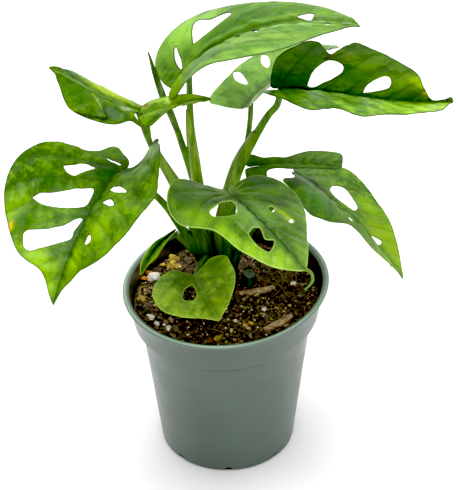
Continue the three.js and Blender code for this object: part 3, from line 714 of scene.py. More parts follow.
@dataclass(frozen=True)
class PotFinish:
    """Grey-green moulded plastic with a satin skin.

    Each of the lines is the heights that it runs between, its share and its colour: painted highlights on the
    lip's face and crest, painted shade under the step of the band and painted shade under the lip. The inner
    wall takes painted shade mixed with brown soil splashes, and the foot painted contact shade.
    """

    skin: Colour = linear(64, 78, 68)
    # Painted shade for the inner wall, and the brown of the soil splashed on it.
    inner_shade: Colour = linear(46, 60, 46)
    splash: Colour = linear(84, 72, 48)
    # Painted contact shade at the base.
    foot: Colour = linear(30, 38, 32)
    lines: Sequence[tuple[float, float, float, Colour]] = (
        (100.0, 101.9, 0.3, linear(104, 128, 110)), (101.4, 102.6, 0.75, linear(144, 170, 148)),
        (77.6, 82.6, 0.6, linear(40, 52, 46)), (98.2, 100.2, 0.6, linear(38, 50, 44)),
    )

    def make(self) -> Material:
        """Makes the material.

        Returns:
            Faint flow marks and fine grain, with painted highlights on the lip and painted shade under it and the
            band's step, an inner wall of painted shade and soil splashes, and painted contact shade at the foot.
        """
        g = Graph("pot_plastic")
        up = g.height()
        colour = g.mix(g.span(g.noise(28, 2.0), 0.3, 0.7), self.skin, tuple(c * 1.14 for c in self.skin))
        # Painted highlight lines on the lip, and painted shade under the lip and under the band's step.
        for low, high, share, tint in self.lines:
            middle, half = (low + high) / 2 * MM, (high - low) / 2 * MM
            away = g.math("ABSOLUTE", g.math("SUBTRACT", up, middle))
            colour = g.mix(g.span(away, half, 0.4 * half, 0.0, share), colour, tint)
        # The inner wall: painted shade, broken by patches of brown soil splashes.
        shade_and_soil = g.mix(g.span(g.noise(260, 4.0, 0.6), 0.42, 0.6), self.inner_shade, self.splash)
        colour = g.mix(g.math("MULTIPLY", g.read("inner")[0], 0.92), colour, shade_and_soil)
        # Painted contact shade over the lowest millimetre and a half of the foot.
        colour = g.mix(g.math("MULTIPLY", g.span(up, 0.0016, 0.0003), 0.6), colour, self.foot)
        rings = g.noise(260, 2.0, 0.5, g.place((0.02, 0.02, 1.0)))
        height = g.layered((g.noise(2400, 2.0), 0.35), (rings, 0.2))
        return g.finish(colour, g.span(g.noise(90, 3.0), 0.3, 0.75, 0.3, 0.4), height, 0.00006,
                        Specular_IOR_Level=0.75)


@dataclass(frozen=True)
class GrainFinish:
    """Anything with a grain: peat, bark, fine roots and white grains."""

    name: str
    dark: Colour
    light: Colour
    scale: float = 500.0
    rough: float = 0.85
    relief: float = 0.0006
    stretch: Colour = (1.0, 1.0, 1.0)

    def make(self) -> Material:
        """Makes the material.

        Returns:
            Uneven patches and pits of the grain's own scale, with painted shade in the pits.
        """
        g = Graph(self.name)
        where = g.place(self.stretch)
        patches = g.noise(self.scale, 4.0, 0.65, where)
        pits = g.cells(self.scale * 2.2, where).outputs["Distance"]
        colour = g.mix(g.span(patches, 0.32, 0.68), self.dark, self.light)
        # Painted shade in the pits of the bump.
        colour = g.mix(g.span(pits, 0.1, 0.5, 0.35, 0.0), colour, tuple(0.35 * c for c in self.dark))
        return g.finish(colour, self.rough, g.layered((patches, 1.0), (pits, 0.5)), self.relief)


@dataclass(frozen=True)
class CrumbFinish:
    """Loose crumbs, each in the tint that its own attribute gives, between the shares dim and lit."""

    dim: float = 0.55
    lit: float = 1.25

    def make(self) -> Material:
        """Makes the material.

        Returns:
            The crumbs' tints in uneven patches.
        """
        g = Graph("crumbs")
        tint = g.add("ShaderNodeAttribute", {}, attribute_name="tint").outputs["Vector"]
        patches = g.noise(1400, 3.0, 0.6)
        shade = g.mix(g.span(patches, 0.3, 0.7), (self.dim,) * 3, (self.lit,) * 3)
        return g.finish(g.mix(1.0, tint, shade, "MULTIPLY"), 0.8, patches, 0.0003)


# ---- leaf blades

# A blade's midrib is cut into even steps, and its rows go on behind the petiole for the basal lobes.
MIDRIB_STEPS = 48
ROWS_BEHIND = 14
MIDRIB_ROWS = 75
LEAST_CURL = 0.01  # degrees, so that a flat blade divides by no zero
PETIOLE_SINK = 0.1  # millimetres of the petiole's end that lie in the blade
RIB_ROOM = 1.4  # millimetres over the blade's own thickness that its ribs may take
EDGE_REACH = 12.0  # millimetres up to which the distance from the edge is told
BATCH = 2000  # points whose distances are worked out at once


@dataclass(frozen=True)
class Crease:
    """A raised or sunken line between two places on the flat blade, in millimetres."""

    start: Point
    end: Point
    height: float
    width: float

    def lift(self, flat: Array) -> Array:
        """Gives the crease's height at places on the flat blade.

        Args:
            flat: The places, one [x, y] a row.

        Returns:
            One height a place, in millimetres.
        """
        a, b = np.array(self.start, float), np.array(self.end, float)
        run = b - a
        t = ((flat - a) @ run) / (run @ run)
        away = np.linalg.norm(flat - a - np.clip(t, 0, 1)[:, None] * run, axis=1)
        return self.height * np.exp(-(away / self.width) ** 2)


@dataclass
class Blade:
    """One leaf blade: a flat outline with holes, grown into a bent, folded and curled surface.

    heading, pitch, roll and fold are [at the petiole, change to the tip, change with the square]; curl is
    [right half, left half, change to the tip]; lobe_lift raises the basal lobes. right and left give the
    margin as its distance from the midrib and its place along it. thickness is the blade's own, and vein and
    midrib give the depth and width of the grooves, and rib and side_rib the height of the ribs under them.
    """

    name: str
    finish: LeafFinish
    base: Point
    length: float
    half_width: float
    heading: Point
    pitch: Point
    roll: Point
    fold: Point
    curl: Point
    lobe_lift: Point
    right: Points
    left: Points
    holes: Sequence[Points] = ()
    drip: Points = ()
    spacing: float = 9.0
    quilt: float = 0.45
    wave: float = 0.4
    seed: int = 1
    creases: Sequence[Crease] = ()
    mesh_step: float = 1.15
    thickness: float = 0.45
    vein: tuple[float, float] = (0.28, 0.8)
    midrib: tuple[float, float] = (0.55, 1.3)
    rib: float = 0.9
    side_rib: float = 0.25

    def bent(self, values: Point, t: Array) -> Array:
        """Gives an angle in radians along the blade."""
        first, by_length, by_square = (*values, 0.0, 0.0)[:3]
        return np.radians(first + by_length * t + by_square * t * np.abs(t))

    def spine_frame(self) -> tuple[Array, Array, Array]:
        """Bends the midrib through the blade's angles, from behind the petiole to past the tip.

        Returns:
            The midrib's places in millimetres, and the ways across and up from the blade at each of them.
        """
        step = self.length / MIDRIB_STEPS
        t = (np.arange(MIDRIB_ROWS) - ROWS_BEHIND) * step / self.length
        heading, pitch, roll = (self.bent(v, t) for v in (self.heading, self.pitch, self.roll))
        along = np.stack([np.cos(pitch) * np.cos(heading), np.cos(pitch) * np.sin(heading), np.sin(pitch)], 1)
        level = np.stack([np.sin(heading), -np.cos(heading), 0 * heading], 1)
        upright = np.cross(level, along)
        across = level * np.cos(roll)[:, None] - upright * np.sin(roll)[:, None]
        normal = upright * np.cos(roll)[:, None] + level * np.sin(roll)[:, None]
        centre = np.vstack([np.zeros(3), np.cumsum((along[1:] + along[:-1]) * 0.5 * step, 0)])
        centre += np.array(self.base) - centre[ROWS_BEHIND]
        return centre, across, normal

    def surface(self, flat: Array) -> Array:
        """Maps flat blade coordinates to the grown leaf.

        Args:
            flat: One [x, y] a row, x to the right of the midrib and y along it.

        Returns:
            The places in millimetres, one a row.
        """
        x, y = flat[:, 0], flat[:, 1]
        at = np.clip(y / (self.length / MIDRIB_STEPS) + ROWS_BEHIND, 0, MIDRIB_ROWS - 1.001)
        row = at.astype(int)
        part = (at - row)[:, None]
        centre, across, normal = (rows[row] * (1 - part) + rows[row + 1] * part for rows in self.spine_frame())
        t, u = y / self.length, np.abs(x) / self.half_width
        fold = self.bent(self.fold, t)
        degrees = np.where(x >= 0, self.curl[0], self.curl[1]) + self.curl[2] * t
        curl = np.radians(np.where(np.abs(degrees) < LEAST_CURL, LEAST_CURL, degrees))
        reach = self.half_width / curl * (np.sin(fold + curl * u) - np.sin(fold))
        lobe = np.clip(1 - t / 0.35, 0, 3) ** 2
        lift = np.where(x >= 0, self.lobe_lift[0], self.lobe_lift[1]) * u * u * lobe
        rise = self.half_width / curl * (np.cos(fold) - np.cos(fold + curl * u)) + lift
        sign = np.where(x >= 0, 1.0, -1.0)
        return centre + across * (sign * reach)[:, None] + normal * rise[:, None]

    def petiole_end(self, previous: Point, radius: float) -> Point:
        """Gives where the petiole meets the underside.

        Args:
            previous: The petiole's last point before its end.
            radius: The petiole's radius there.

        Returns:
            A point under the notch, sunk a little into the blade so that the two are one growth.
        """
        notch, ahead, middle, right, left = self.surface(np.array([(0, 0), (0, 2), (0, 1), (2, 1), (-2, 1)], float))
        across = Vector((right - middle) - (left - middle)).normalized()
        normal = across.cross(Vector(ahead - notch).normalized())
        arriving = Vector(notch - np.array(previous)).normalized()
        slant = math.sqrt(max(0.0, 1 - arriving.dot(normal) ** 2))
        return tuple(Vector(notch) - normal * (self.thickness / 2 + radius * slant * 0.8 - PETIOLE_SINK))

    @cached_property
    def loops(self) -> list[Array]:
        """The outline and then each hole, as even rows of points."""
        tip = (0.0, self.length)
        right = spline([(0, 0), *self.right, tip], self.mesh_step)
        left = spline([(0, 0), *[(-x, y) for x, y in self.left], tip], self.mesh_step)
        holes = [spline([*hole, hole[0]], self.mesh_step * 0.85)[:-1] for hole in self.holes]
        return [np.vstack([right, left[1:-1][::-1]]), *holes]

    def covers(self, points: Array) -> Array:
        """Tells which points lie on the blade.

        Args:
            points: The points, one [x, y] a row.

        Returns:
            One truth value a point, false outside the outline and in the holes.
        """
        keep = inside(points, self.loops[0])
        for hole in self.loops[1:]:
            keep &= ~inside(points, hole)
        return keep

    def inner_points(self) -> tuple[Array, Array]:
        """Spreads points over the blade, clear of its edges, with a row of them on the midrib.

        Returns:
            The points, one [x, y] a row, and each one's distance from the nearest edge.
        """
        step = self.mesh_step
        border = np.vstack(self.loops)
        (left, low), (right, high) = border.min(0), border.max(0)
        grid = []
        for i, y in enumerate(np.arange(low, high, step * 0.866)):
            xs = np.arange(left, right, step) + (i % 2) * step / 2
            grid.append(np.stack([xs, np.full_like(xs, y)], 1))
        grid = np.vstack(grid)
        grid = grid[np.abs(grid[:, 0]) > step * 0.5]
        spine = np.arange(step, self.length, step)
        grid = np.vstack([np.stack([0 * spine, spine], 1), grid])
        generator = np.random.default_rng(self.seed)
        grid[len(spine):] += generator.uniform(-0.12, 0.12, (len(grid) - len(spine), 2)) * step
        grid = grid[self.covers(grid)]
        gap = self.edge_distance(grid)
        return grid[gap > step * 0.5], gap[gap > step * 0.5]

    def flat_mesh(self) -> tuple[Array, Array, Array]:
        """Fills the outline with triangles.

        Returns:
            The flat points, each point's distance from the nearest edge, and the triangles.
        """
        border = np.vstack(self.loops)
        edges, start = [], 0
        for loop in self.loops:
            n = len(loop)
            edges += [(start + i, start + (i + 1) % n) for i in range(n)]
            start += n
        grid, gap = self.inner_points()
        result = delaunay_2d_cdt([Vector(p) for p in np.vstack([border, grid])], edges, [], 0, 1e-6)
        points, triangles = np.array([tuple(v) for v in result[0]]), np.array(result[2])
        source = np.array([o[0] if o else -1 for o in result[3]])
        distance = np.concatenate([np.zeros(len(border)), gap])[source]
        return points, distance, triangles[self.covers(points[triangles].mean(1))]

    def edge_distance(self, points: Array) -> Array:
        """Gives each point's distance from the nearest margin or hole.

        Args:
            points: The points, one [x, y] a row.

        Returns:
            One distance a point, in millimetres, up to EDGE_REACH.
        """
        nearest = np.full(len(points), EDGE_REACH)
        for loop in self.loops:
            ab = np.roll(loop, -1, 0) - loop
            for low in range(0, len(points), BATCH):
                p = points[low:low + BATCH, None, :]
                t = np.clip(((p - loop) * ab).sum(2) / np.maximum((ab * ab).sum(1), 1e-9), 0, 1)
                gap = np.linalg.norm(p - loop - t[..., None] * ab, axis=2).min(1)
                nearest[low:low + BATCH] = np.minimum(nearest[low:low + BATCH], gap)
        return nearest

    def veins(self, flat: Array) -> tuple[Array, Array, Array]:
        """Numbers the side veins, which leave the midrib and bow towards the tip.

        Args:
            flat: One [x, y] a row.

        Returns:
            A number that is whole on each vein, the millimetres from one vein to the next, and those from
            the nearest vein.
        """
        x, y = np.abs(flat[:, 0]), flat[:, 1]
        bow = 0.35 / self.half_width
        opening = 1 + 0.9 * x / self.length
        s = (y - 0.12 * x - bow * x * x) / opening
        fan = s * opening / np.maximum(x, 0.8)
        number = np.where(s >= 0, s / self.spacing, fan / 0.5)
        gap = np.maximum(np.where(s >= 0, self.spacing * opening * 0.85, 0.5 * x * 0.8), 0.5)
        return number, gap, np.abs(number - np.round(number)) * gap

    def relief(self, flat: Array, edge: Array) -> Array:
        """Gives the height of the quilted face over the smooth leaf.

        Args:
            flat: One [x, y] a row.
            edge: Each place's distance from the nearest edge.

        Returns:
            One height a place, in millimetres.
        """
        number, _, off = self.veins(flat)
        x, y = flat[:, 0], flat[:, 1]
        fade = smoothstep(0, 5, edge) * smoothstep(0.0, 6, np.abs(x) + 0.4 * np.abs(y))
        quilt = self.quilt * (np.sin(np.pi * np.clip(number % 1, 0, 1)) ** 0.8 - 0.5) * fade
        (depth, width), (spine_depth, spine_width) = self.vein, self.midrib
        channel = -depth * np.exp(-(off / width) ** 2) * fade
        spine = -spine_depth * np.exp(-(x / spine_width) ** 2) * (1 - 0.6 * np.clip(y / self.length, 0, 1))
        seed = self.seed
        layers = ((1, 0.07, (seed, 0, 3.1 * seed)), (0.6, 0.2, (0, seed, 1.7)), (0.3, 0.45, (0, 0, seed)))
        waves = np.array([bumps(a, b, layers) for a, b in flat])
        folds = sum((crease.lift(flat) for crease in self.creases), np.zeros(len(flat)))
        return quilt + channel + spine + self.wave * waves + folds

    def build(self) -> Piece:
        """Makes the blade's mesh, with the vein and edge attributes that its finish reads.

        Returns:
            The blade as a closed mesh, with its upper face, underside and edge in three material slots.
        """
        flat, edge, triangles = self.flat_mesh()
        places = self.surface(flat)
        corner = places[triangles]
        face = np.cross(corner[:, 1] - corner[:, 0], corner[:, 2] - corner[:, 0])
        normals = np.zeros_like(places)
        for k in range(3):
            np.add.at(normals, triangles[:, k], face)
        normals /= np.maximum(np.linalg.norm(normals, axis=1), 1e-12)[:, None]
        places += normals * (self.relief(flat, edge) + self.thickness / 2)[:, None]
        piece = meshed(self.name + "_blade", (places * MM).tolist(), triangles.tolist())
        number, gap, off = self.veins(flat)
        attribute(piece, "place", np.stack([flat[:, 0], flat[:, 1], edge], 1))
        attribute(piece, "vein", np.stack([number, gap, flat[:, 1] / self.length], 1))
        taper = 1 - 0.75 * np.clip(flat[:, 1] / self.length, 0, 1)
        rib = self.rib * np.exp(-(flat[:, 0] / (1.1 * taper + 0.2)) ** 2) * taper
        rib += self.side_rib * np.exp(-(off / 0.5) ** 2) * smoothstep(0, 6, edge)
        full = self.thickness + RIB_ROOM
        group = piece.vertex_groups.new(name="thick")
        for i, value in enumerate((self.thickness + rib) / full):
            group.add([i], float(min(value, 1.0)), "REPLACE")
        modify(piece, "SOLIDIFY", thickness=full * MM, offset=-1.0, vertex_group="thick", material_offset=1,
               material_offset_rim=2)
        piece.vertex_groups.clear()
        smooth(piece, 55)
        return piece

    def dress(self) -> None:
        """Builds the blade in its finish, with its drip tail where it has one, in place of its plain solid."""
        piece = self.build()
        materials = (self.finish.upper(), self.finish.under(), self.finish.rim())
        if self.drip:
            tail = Tube([*self.drip], (0.9, 0.8, 0.7, 0.4)).build("drip_tail")
            count = len(tail.data.vertices)
            attribute(tail, "place", np.tile([3.0, 0.95 * self.length, 2.0], (count, 1)))
            attribute(tail, "vein", np.tile([0.5, 9.0, 0.95], (count, 1)))
            for material in materials:
                piece.data.materials.append(material)
            piece = joined([piece, tail], piece.name)
        dressed(piece, Slot.LEAF_BLADE, *materials, node=self.name)


# ---- petioles


@dataclass
class Tube:
    """A round shoot along a path, whose radius runs through the listed values."""

    path: Points
    radii: Point

    def centre(self, spacing: float = 1.0) -> tuple[Array, Array]:
        """Runs the middle line along the path.

        Args:
            spacing: The distance from one point of it to the next.

        Returns:
            The line's points and the radius at each of them, in millimetres.
        """
        line = spline(self.path, spacing, centripetal=True)
        at = np.linspace(0, len(self.radii) - 1, len(line))
        return line, np.interp(at, np.arange(len(self.radii)), self.radii)

    def build(self, name: str, sides: int = 4) -> Piece:
        """Sweeps a circle along the middle line and closes its ends.

        Args:
            name: The name of the new piece.
            sides: The bevel resolution of the circle.

        Returns:
            The tube as a mesh.
        """
        line, radius = self.centre()
        deselect()
        curve = bpy.data.curves.new(name, "CURVE")
        curve.dimensions, curve.bevel_depth, curve.bevel_resolution = "3D", MM, sides
        curve.use_fill_caps = True
        shoot = curve.splines.new("POLY")
        shoot.points.add(len(line) - 1)
        for point, place, r in zip(shoot.points, line, radius):
            point.co, point.radius = (*(place * MM), 1.0), float(r)
        take(linked(name, curve))
        bpy.ops.object.convert(target="MESH")
        return bpy.context.object


@dataclass
class Petiole(Tube):
    """A leaf's stalk: its path ends under the blade that it names."""

    leaf: str = ""

    def grown(self) -> Tube:
        """Takes the stalk up to its blade.

        Returns:
            The whole stalk, with its end under the blade.
        """
        blade = next((b for b in BLADES if b.name == self.leaf), None)
        end = [blade.petiole_end(self.path[-1], self.radii[-1])] if blade else []
        return Tube([*self.path, *end], self.radii)


@dataclass
class Sheath:
    """The open winged sheath that wraps the lower part of a petiole.

    It runs from the share start to the share end of the path, opens away from facing, wraps the petiole by
    spread to either side, stands off it by lift, and its edges turn out by flare.
    """

    path: Points
    radii: Point
    start: float
    end: float
    facing: float
    spread: float = 120.0
    lift: float = 0.5
    flare: float = 1.2
    thickness: float = 0.5
    turns: int = 13

    def build(self, name: str) -> Piece:
        """Makes the sheath as a thin curved membrane that narrows to a free tip.

        Args:
            name: The name of the new piece.

        Returns:
            The membrane as a closed mesh.
        """
        line, radius = Tube(self.path, self.radii).centre(1.2)
        first, last = int(self.start * (len(line) - 1)), int(self.end * (len(line) - 1))
        towards = Vector((math.cos(math.radians(self.facing)), math.sin(math.radians(self.facing)), 0))
        points = []
        for i in range(first, last + 1):
            t = (i - first) / max(1, last - first)
            ahead = Vector(line[min(i + 1, len(line) - 1)] - line[max(i - 1, 0)]).normalized()
            out = (towards - ahead * towards.dot(ahead)).normalized()
            side = ahead.cross(out)
            half = math.radians(self.spread) * (0.25 + 0.75 * math.sqrt(max(0.0, 1 - t**5)))
            for j in range(self.turns):
                share = 2 * j / (self.turns - 1) - 1
                angle, edge = half * share, abs(share) ** 3
                away = radius[i] + self.lift * (1 - 0.8 * t**6) + self.flare * (edge * (0.4 + 0.6 * t) + 0.6 * t**6)
                spot = Vector(line[i]) + (out * math.cos(angle) + side * math.sin(angle)) * away
                points.append(tuple(spot * MM))
        corners = [i * self.turns + j for i in range(last - first) for j in range(self.turns - 1)]
        piece = meshed(name, points, [(a, a + self.turns, a + self.turns + 1, a + 1) for a in corners])
        take(piece)
        bpy.ops.object.mode_set(mode="EDIT")
        close_edit()
        modify(piece, "SOLIDIFY", thickness=self.thickness * MM, offset=0.0)
        modify(piece, "SUBSURF", levels=1, render_levels=1)
        return piece


@dataclass
class Stem:
    """One rooted stem with the petioles and sheaths that grow from it."""

    name: str
    foot: Point
    top: float
    petioles: Sequence[Petiole]
    sheaths: Sequence[Sheath]
    finish: StemFinish
    sheath_finish: StemFinish
    root: float = 72
    collar: float = 92
    radii: Point = (4.4, 4.4, 3.0)
    grain: float = 0.5

    def build(self) -> Piece:
        """Joins foot and petioles into one smooth growth.

        Returns:
            The growth as one mesh.
        """
        x, y = self.foot
        foot = Tube([(x, y, self.root), (x, y, self.collar), (x, y, self.top)], self.radii).build("foot", 6)
        parts = [foot] + [shoot.grown().build(f"petiole_{i}") for i, shoot in enumerate(self.petioles)]
        piece = joined(parts, self.name + "_growth")
        piece.data.remesh_voxel_size = self.grain * MM
        bpy.ops.object.voxel_remesh()
        modify(piece, "SMOOTH", factor=0.5, iterations=5)
        return piece

    def dress(self) -> None:
        """Builds the stem and its sheaths, in place of the plain solid."""
        piece = self.build()
        smooth(piece, 80)
        dressed(piece, Slot.PETIOLE, self.finish.make(), node=self.name)
        if self.sheaths:
            wraps = joined([s.build(f"wrap_{i}") for i, s in enumerate(self.sheaths)], self.name + "_sheaths")
            smooth(wraps, 60)
            dressed(wraps, Slot.PETIOLE, self.sheath_finish.make())


@dataclass
class RolledLeaf:
    """A new leaf that is still rolled into a pointed spear; its seam winds round it with the twist."""

    path: Points
    radii: Point
    finish: StemFinish
    seam_depth: float = 0.3
    seam_width: float = 0.35
    twist: float = 0.05

    def dress(self) -> None:
        """Builds the spear with the seam of its roll, in place of the plain solid."""
        piece = Tube(self.path, self.radii).build("new_leaf_spear", 6)
        line, _ = Tube(self.path, self.radii).centre(0.5)
        places = coordinates(piece) / MM
        nearest = np.linalg.norm(places[:, None] - line[None], axis=2).argmin(1)
        around = places - line[nearest]
        turn = np.arctan2(around[:, 1], around[:, 0]) + self.twist * nearest
        away = ((turn + 1.2) % (2 * math.pi) - math.pi) / self.seam_width
        places -= around * (self.seam_depth * np.exp(-away ** 2))[:, None]
        set_coordinates(piece, places * MM)
        smooth(piece, 60)
        dressed(piece, Slot.ROLLED_LEAF, self.finish.make(), node="new_leaf")


@dataclass
class CutStump:
    """The stub of an old petiole, cut slantwise and dried at its top, where it shrinks above the collar."""

    at: Point = (12.5, 9.5)
    radius: float = 3.7
    low: float = 80.0
    collar: float = 88.0
    top: float = 99.5
    rings: Points = ((0.5, -0.25), (1.2, -0.35))
    finish: StemFinish = StemFinish("stump_green", linear(36, 68, 16), linear(104, 134, 48))

    def dress(self) -> None:
        """Builds the stub, in place of the plain solid."""
        deselect()
        depth = (self.top - self.low) * MM
        middle = (self.at[0] * MM, self.at[1] * MM, (self.top + self.low) / 2 * MM)
        bpy.ops.mesh.primitive_cylinder_add(vertices=32, radius=self.radius * MM, depth=depth, location=middle)
        piece = bpy.context.object
        piece.name = "stump"
        settle(piece)
        heights = [face.center.z for face in piece.data.polygons]
        upper = heights.index(max(heights))
        edit("DESELECT")
        bpy.ops.object.mode_set(mode="OBJECT")
        piece.data.polygons[upper].select = True
        bpy.ops.object.mode_set(mode="EDIT")
        for width, rise in self.rings:
            bpy.ops.mesh.inset(thickness=width * MM, depth=rise * MM)
        bpy.ops.mesh.poke()
        bpy.ops.object.mode_set(mode="OBJECT")
        modify(piece, "BEVEL", width=0.35 * MM, segments=2, limit_method="ANGLE")
        places = coordinates(piece) / MM
        share = np.clip((places[:, 2] - self.collar) / (self.top - self.collar), 0, 1)[:, None]
        spoke = places[:, :2] - np.array(self.at)
        angle = np.arctan2(spoke[:, 1], spoke[:, 0])[:, None]
        places[:, :2] += spoke * (-0.1 * share + 0.04 * np.sin(3 * angle) + 0.03 * np.sin(7 * angle))
        places[:, 2:] -= share**3 * (1.1 + 0.25 * spoke[:, :1])
        set_coordinates(piece, places * MM)
        smooth(piece, 50)
        dressed(piece, Slot.ROLLED_LEAF, self.finish.make(), node="cut_stump")


# ---- pot and potting mix


@dataclass
class NurseryPot:
    """A thin round pot with a stiffening band and lip, sprung slightly out of round at the rim.

    lean is how far the rim stands from above the foot. plug_reach and plug give the dark block of painted
    shade behind each drain notch: its distance from the axis, and its depth, width and height.
    """

    height: float = 102.0
    oval: float = 0.04
    oval_turn: float = 53.0
    lean: Point = (0.5, -1.4)
    segments: int = 128
    notches: int = 8
    notch_radius: float = 2.8
    foot_radius: float = 36.0
    plug_reach: float = 33.9
    plug: Point = (2.6, 4.3, 1.6)
    finish: PotFinish = PotFinish()

    def profile(self) -> list[Point]:
        """Lists the wall's section.

        Returns:
            Radius and height of each ring, from the middle of the underside round to the middle of the floor.
        """
        return [
            (0.2, 1.0), (24.0, 1.0), (25.0, 0.0), (34.6, 0.0), (35.5, 0.25), (36.0, 0.9), (36.1, 1.8),
            (38.3, 20.5), (40.6, 41.0), (43.0, 61.2), (45.3, 80.6), (45.5, 81.4), (46.0, 81.9), (46.6, 82.05),
            (48.3, 82.1), (48.8, 82.3), (49.05, 82.8), (49.2, 83.6), (50.4, 91.0), (51.85, 98.8), (52.1, 99.3),
            (52.6, 99.6), (53.6, 99.7), (54.1, 100.0), (54.3, 100.6), (54.3, 101.2), (54.05, 101.6), (53.6, 101.8),
            (53.2, 102.0), (52.7, 102.0), (52.3, 101.6), (51.6, 101.3), (51.1, 101.0), (50.8, 100.3), (50.4, 98.6),
            (49.0, 91.0), (47.6, 84.0), (47.0, 83.4), (44.6, 83.0), (44.0, 82.4), (40.8, 55.0), (37.6, 28.0),
            (34.6, 2.4), (34.2, 2.0), (0.2, 2.0),
        ]

    def sprung(self, places: Array) -> Array:
        """Takes round places to the flexible pot's shape.

        Args:
            places: One [x, y, z] a row, in millimetres.

        Returns:
            The moved places.
        """
        up = places[:, 2] / self.height
        turn = np.arctan2(places[:, 1], places[:, 0]) - math.radians(self.oval_turn)
        stretch = 1 + self.oval * up * np.cos(2 * turn)
        moved = places.copy()
        moved[:, 0] = places[:, 0] * stretch + self.lean[0] * up
        moved[:, 1] = places[:, 1] * stretch + self.lean[1] * up
        return moved

    @staticmethod
    def turned(profile: Points, name: str, segments: int) -> Piece:
        """Raises a closed body from a circle, ring by ring, along a profile.

        Args:
            profile: Radius and height of each ring, in millimetres.
            name: The name of the new piece.
            segments: The number of sides of the circle.

        Returns:
            The body as a mesh, round about the upright axis.
        """
        deselect()
        (r, z), rest = profile[0], profile[1:]
        bpy.ops.mesh.primitive_circle_add(vertices=segments, radius=r * MM, location=(0, 0, z * MM))
        piece = bpy.context.object
        piece.name = name
        settle(piece)
        edit("SELECT")
        for new_r, new_z in rest:
            bpy.ops.mesh.extrude_region_move(TRANSFORM_OT_translate={"value": (0, 0, (new_z - z) * MM)})
            share = new_r / r
            bpy.ops.transform.resize(value=(share, share, 1), center_override=(0, 0, new_z * MM))
            r, z = new_r, new_z
        bpy.ops.mesh.merge(type="CENTER")
        bpy.ops.mesh.select_all(action="DESELECT")
        bpy.ops.object.mode_set(mode="OBJECT")
        for vertex in piece.data.vertices[:segments]:
            vertex.select = True
        bpy.ops.object.mode_set(mode="EDIT")
        bpy.ops.mesh.merge(type="CENTER")
        close_edit()
        return piece

    def notch_angles(self) -> list[float]:
        """Gives the angle of each drain notch about the upright axis, in radians."""
        return [math.radians(90 + 360 * i / self.notches) for i in range(self.notches)]

    def dress(self) -> None:
        """Builds the pot with its drain notches, in place of the plain solid."""
        piece = self.turned(self.profile(), "nursery_pot", self.segments)
        set_coordinates(piece, self.sprung(coordinates(piece) / MM) * MM)
        cutters = []
        for angle in self.notch_angles():
            deselect()
            place = (self.foot_radius * MM * math.cos(angle), self.foot_radius * MM * math.sin(angle), 0)
            bpy.ops.mesh.primitive_cylinder_add(vertices=24, radius=self.notch_radius * MM, depth=8 * MM,
                                                location=place, rotation=(math.pi / 2, 0, angle - math.pi / 2))
            cutters.append(bpy.context.object)
        cutter = joined(cutters, "notch_cutter")
        settle(cutter)
        modify(piece, "BOOLEAN", operation="DIFFERENCE", solver="EXACT", object=cutter)
        bpy.data.objects.remove(cutter)
        inner = self.on_inner_wall(coordinates(piece) / MM)
        attribute(piece, "inner", np.stack([inner, inner, inner], 1))
        smooth(piece, 40)
        dressed(piece, Slot.POT, self.finish.make(), node="pot")
        self.shade_notches()

    def on_inner_wall(self, places: Array) -> Array:
        """Finds the inner wall, which lies within the middle of the wall's thickness.

        Args:
            places: One [x, y, z] a row, in millimetres.

        Returns:
            1 at places on the inner wall and 0 at all others.
        """
        up = places[:, 2] / self.height
        flat = places[:, :2] - np.outer(up, self.lean)
        turn = np.arctan2(flat[:, 1], flat[:, 0]) - math.radians(self.oval_turn)
        round_reach = np.hypot(flat[:, 0], flat[:, 1]) / (1 + self.oval * up * np.cos(2 * turn))
        middle = np.interp(places[:, 2], (2, 28, 55, 82, 84, 99, 101.3), (35.2, 38.4, 41.7, 45.0, 48.3, 51.2, 51.7))
        return ((round_reach < middle) & (places[:, 2] > 2.1) & (places[:, 2] < 100.6)).astype(float)

    def shade_notches(self) -> None:
        """Sets a dark block behind each drain notch: painted shade in its hollow."""
        plugs = []
        for angle in self.notch_angles():
            deselect()
            place = (self.plug_reach * MM * math.cos(angle), self.plug_reach * MM * math.sin(angle), 0.95 * MM)
            bpy.ops.mesh.primitive_cube_add(size=1.0, location=place, rotation=(0, 0, angle))
            plug = bpy.context.object
            bpy.ops.transform.resize(value=tuple(side * MM for side in self.plug), orient_type="LOCAL")
            settle(plug)
            modify(plug, "BEVEL", width=0.25 * MM, segments=2)
            plugs.append(plug)
        piece = joined(plugs, "drain_mix")
        smooth(piece, 40)
        # A near-black grain: painted shade in the notches.
        mix = GrainFinish("drain_mix", linear(6, 6, 5), linear(24, 20, 15), 700)
        dressed(piece, Slot.POTTING_MIX, mix.make())


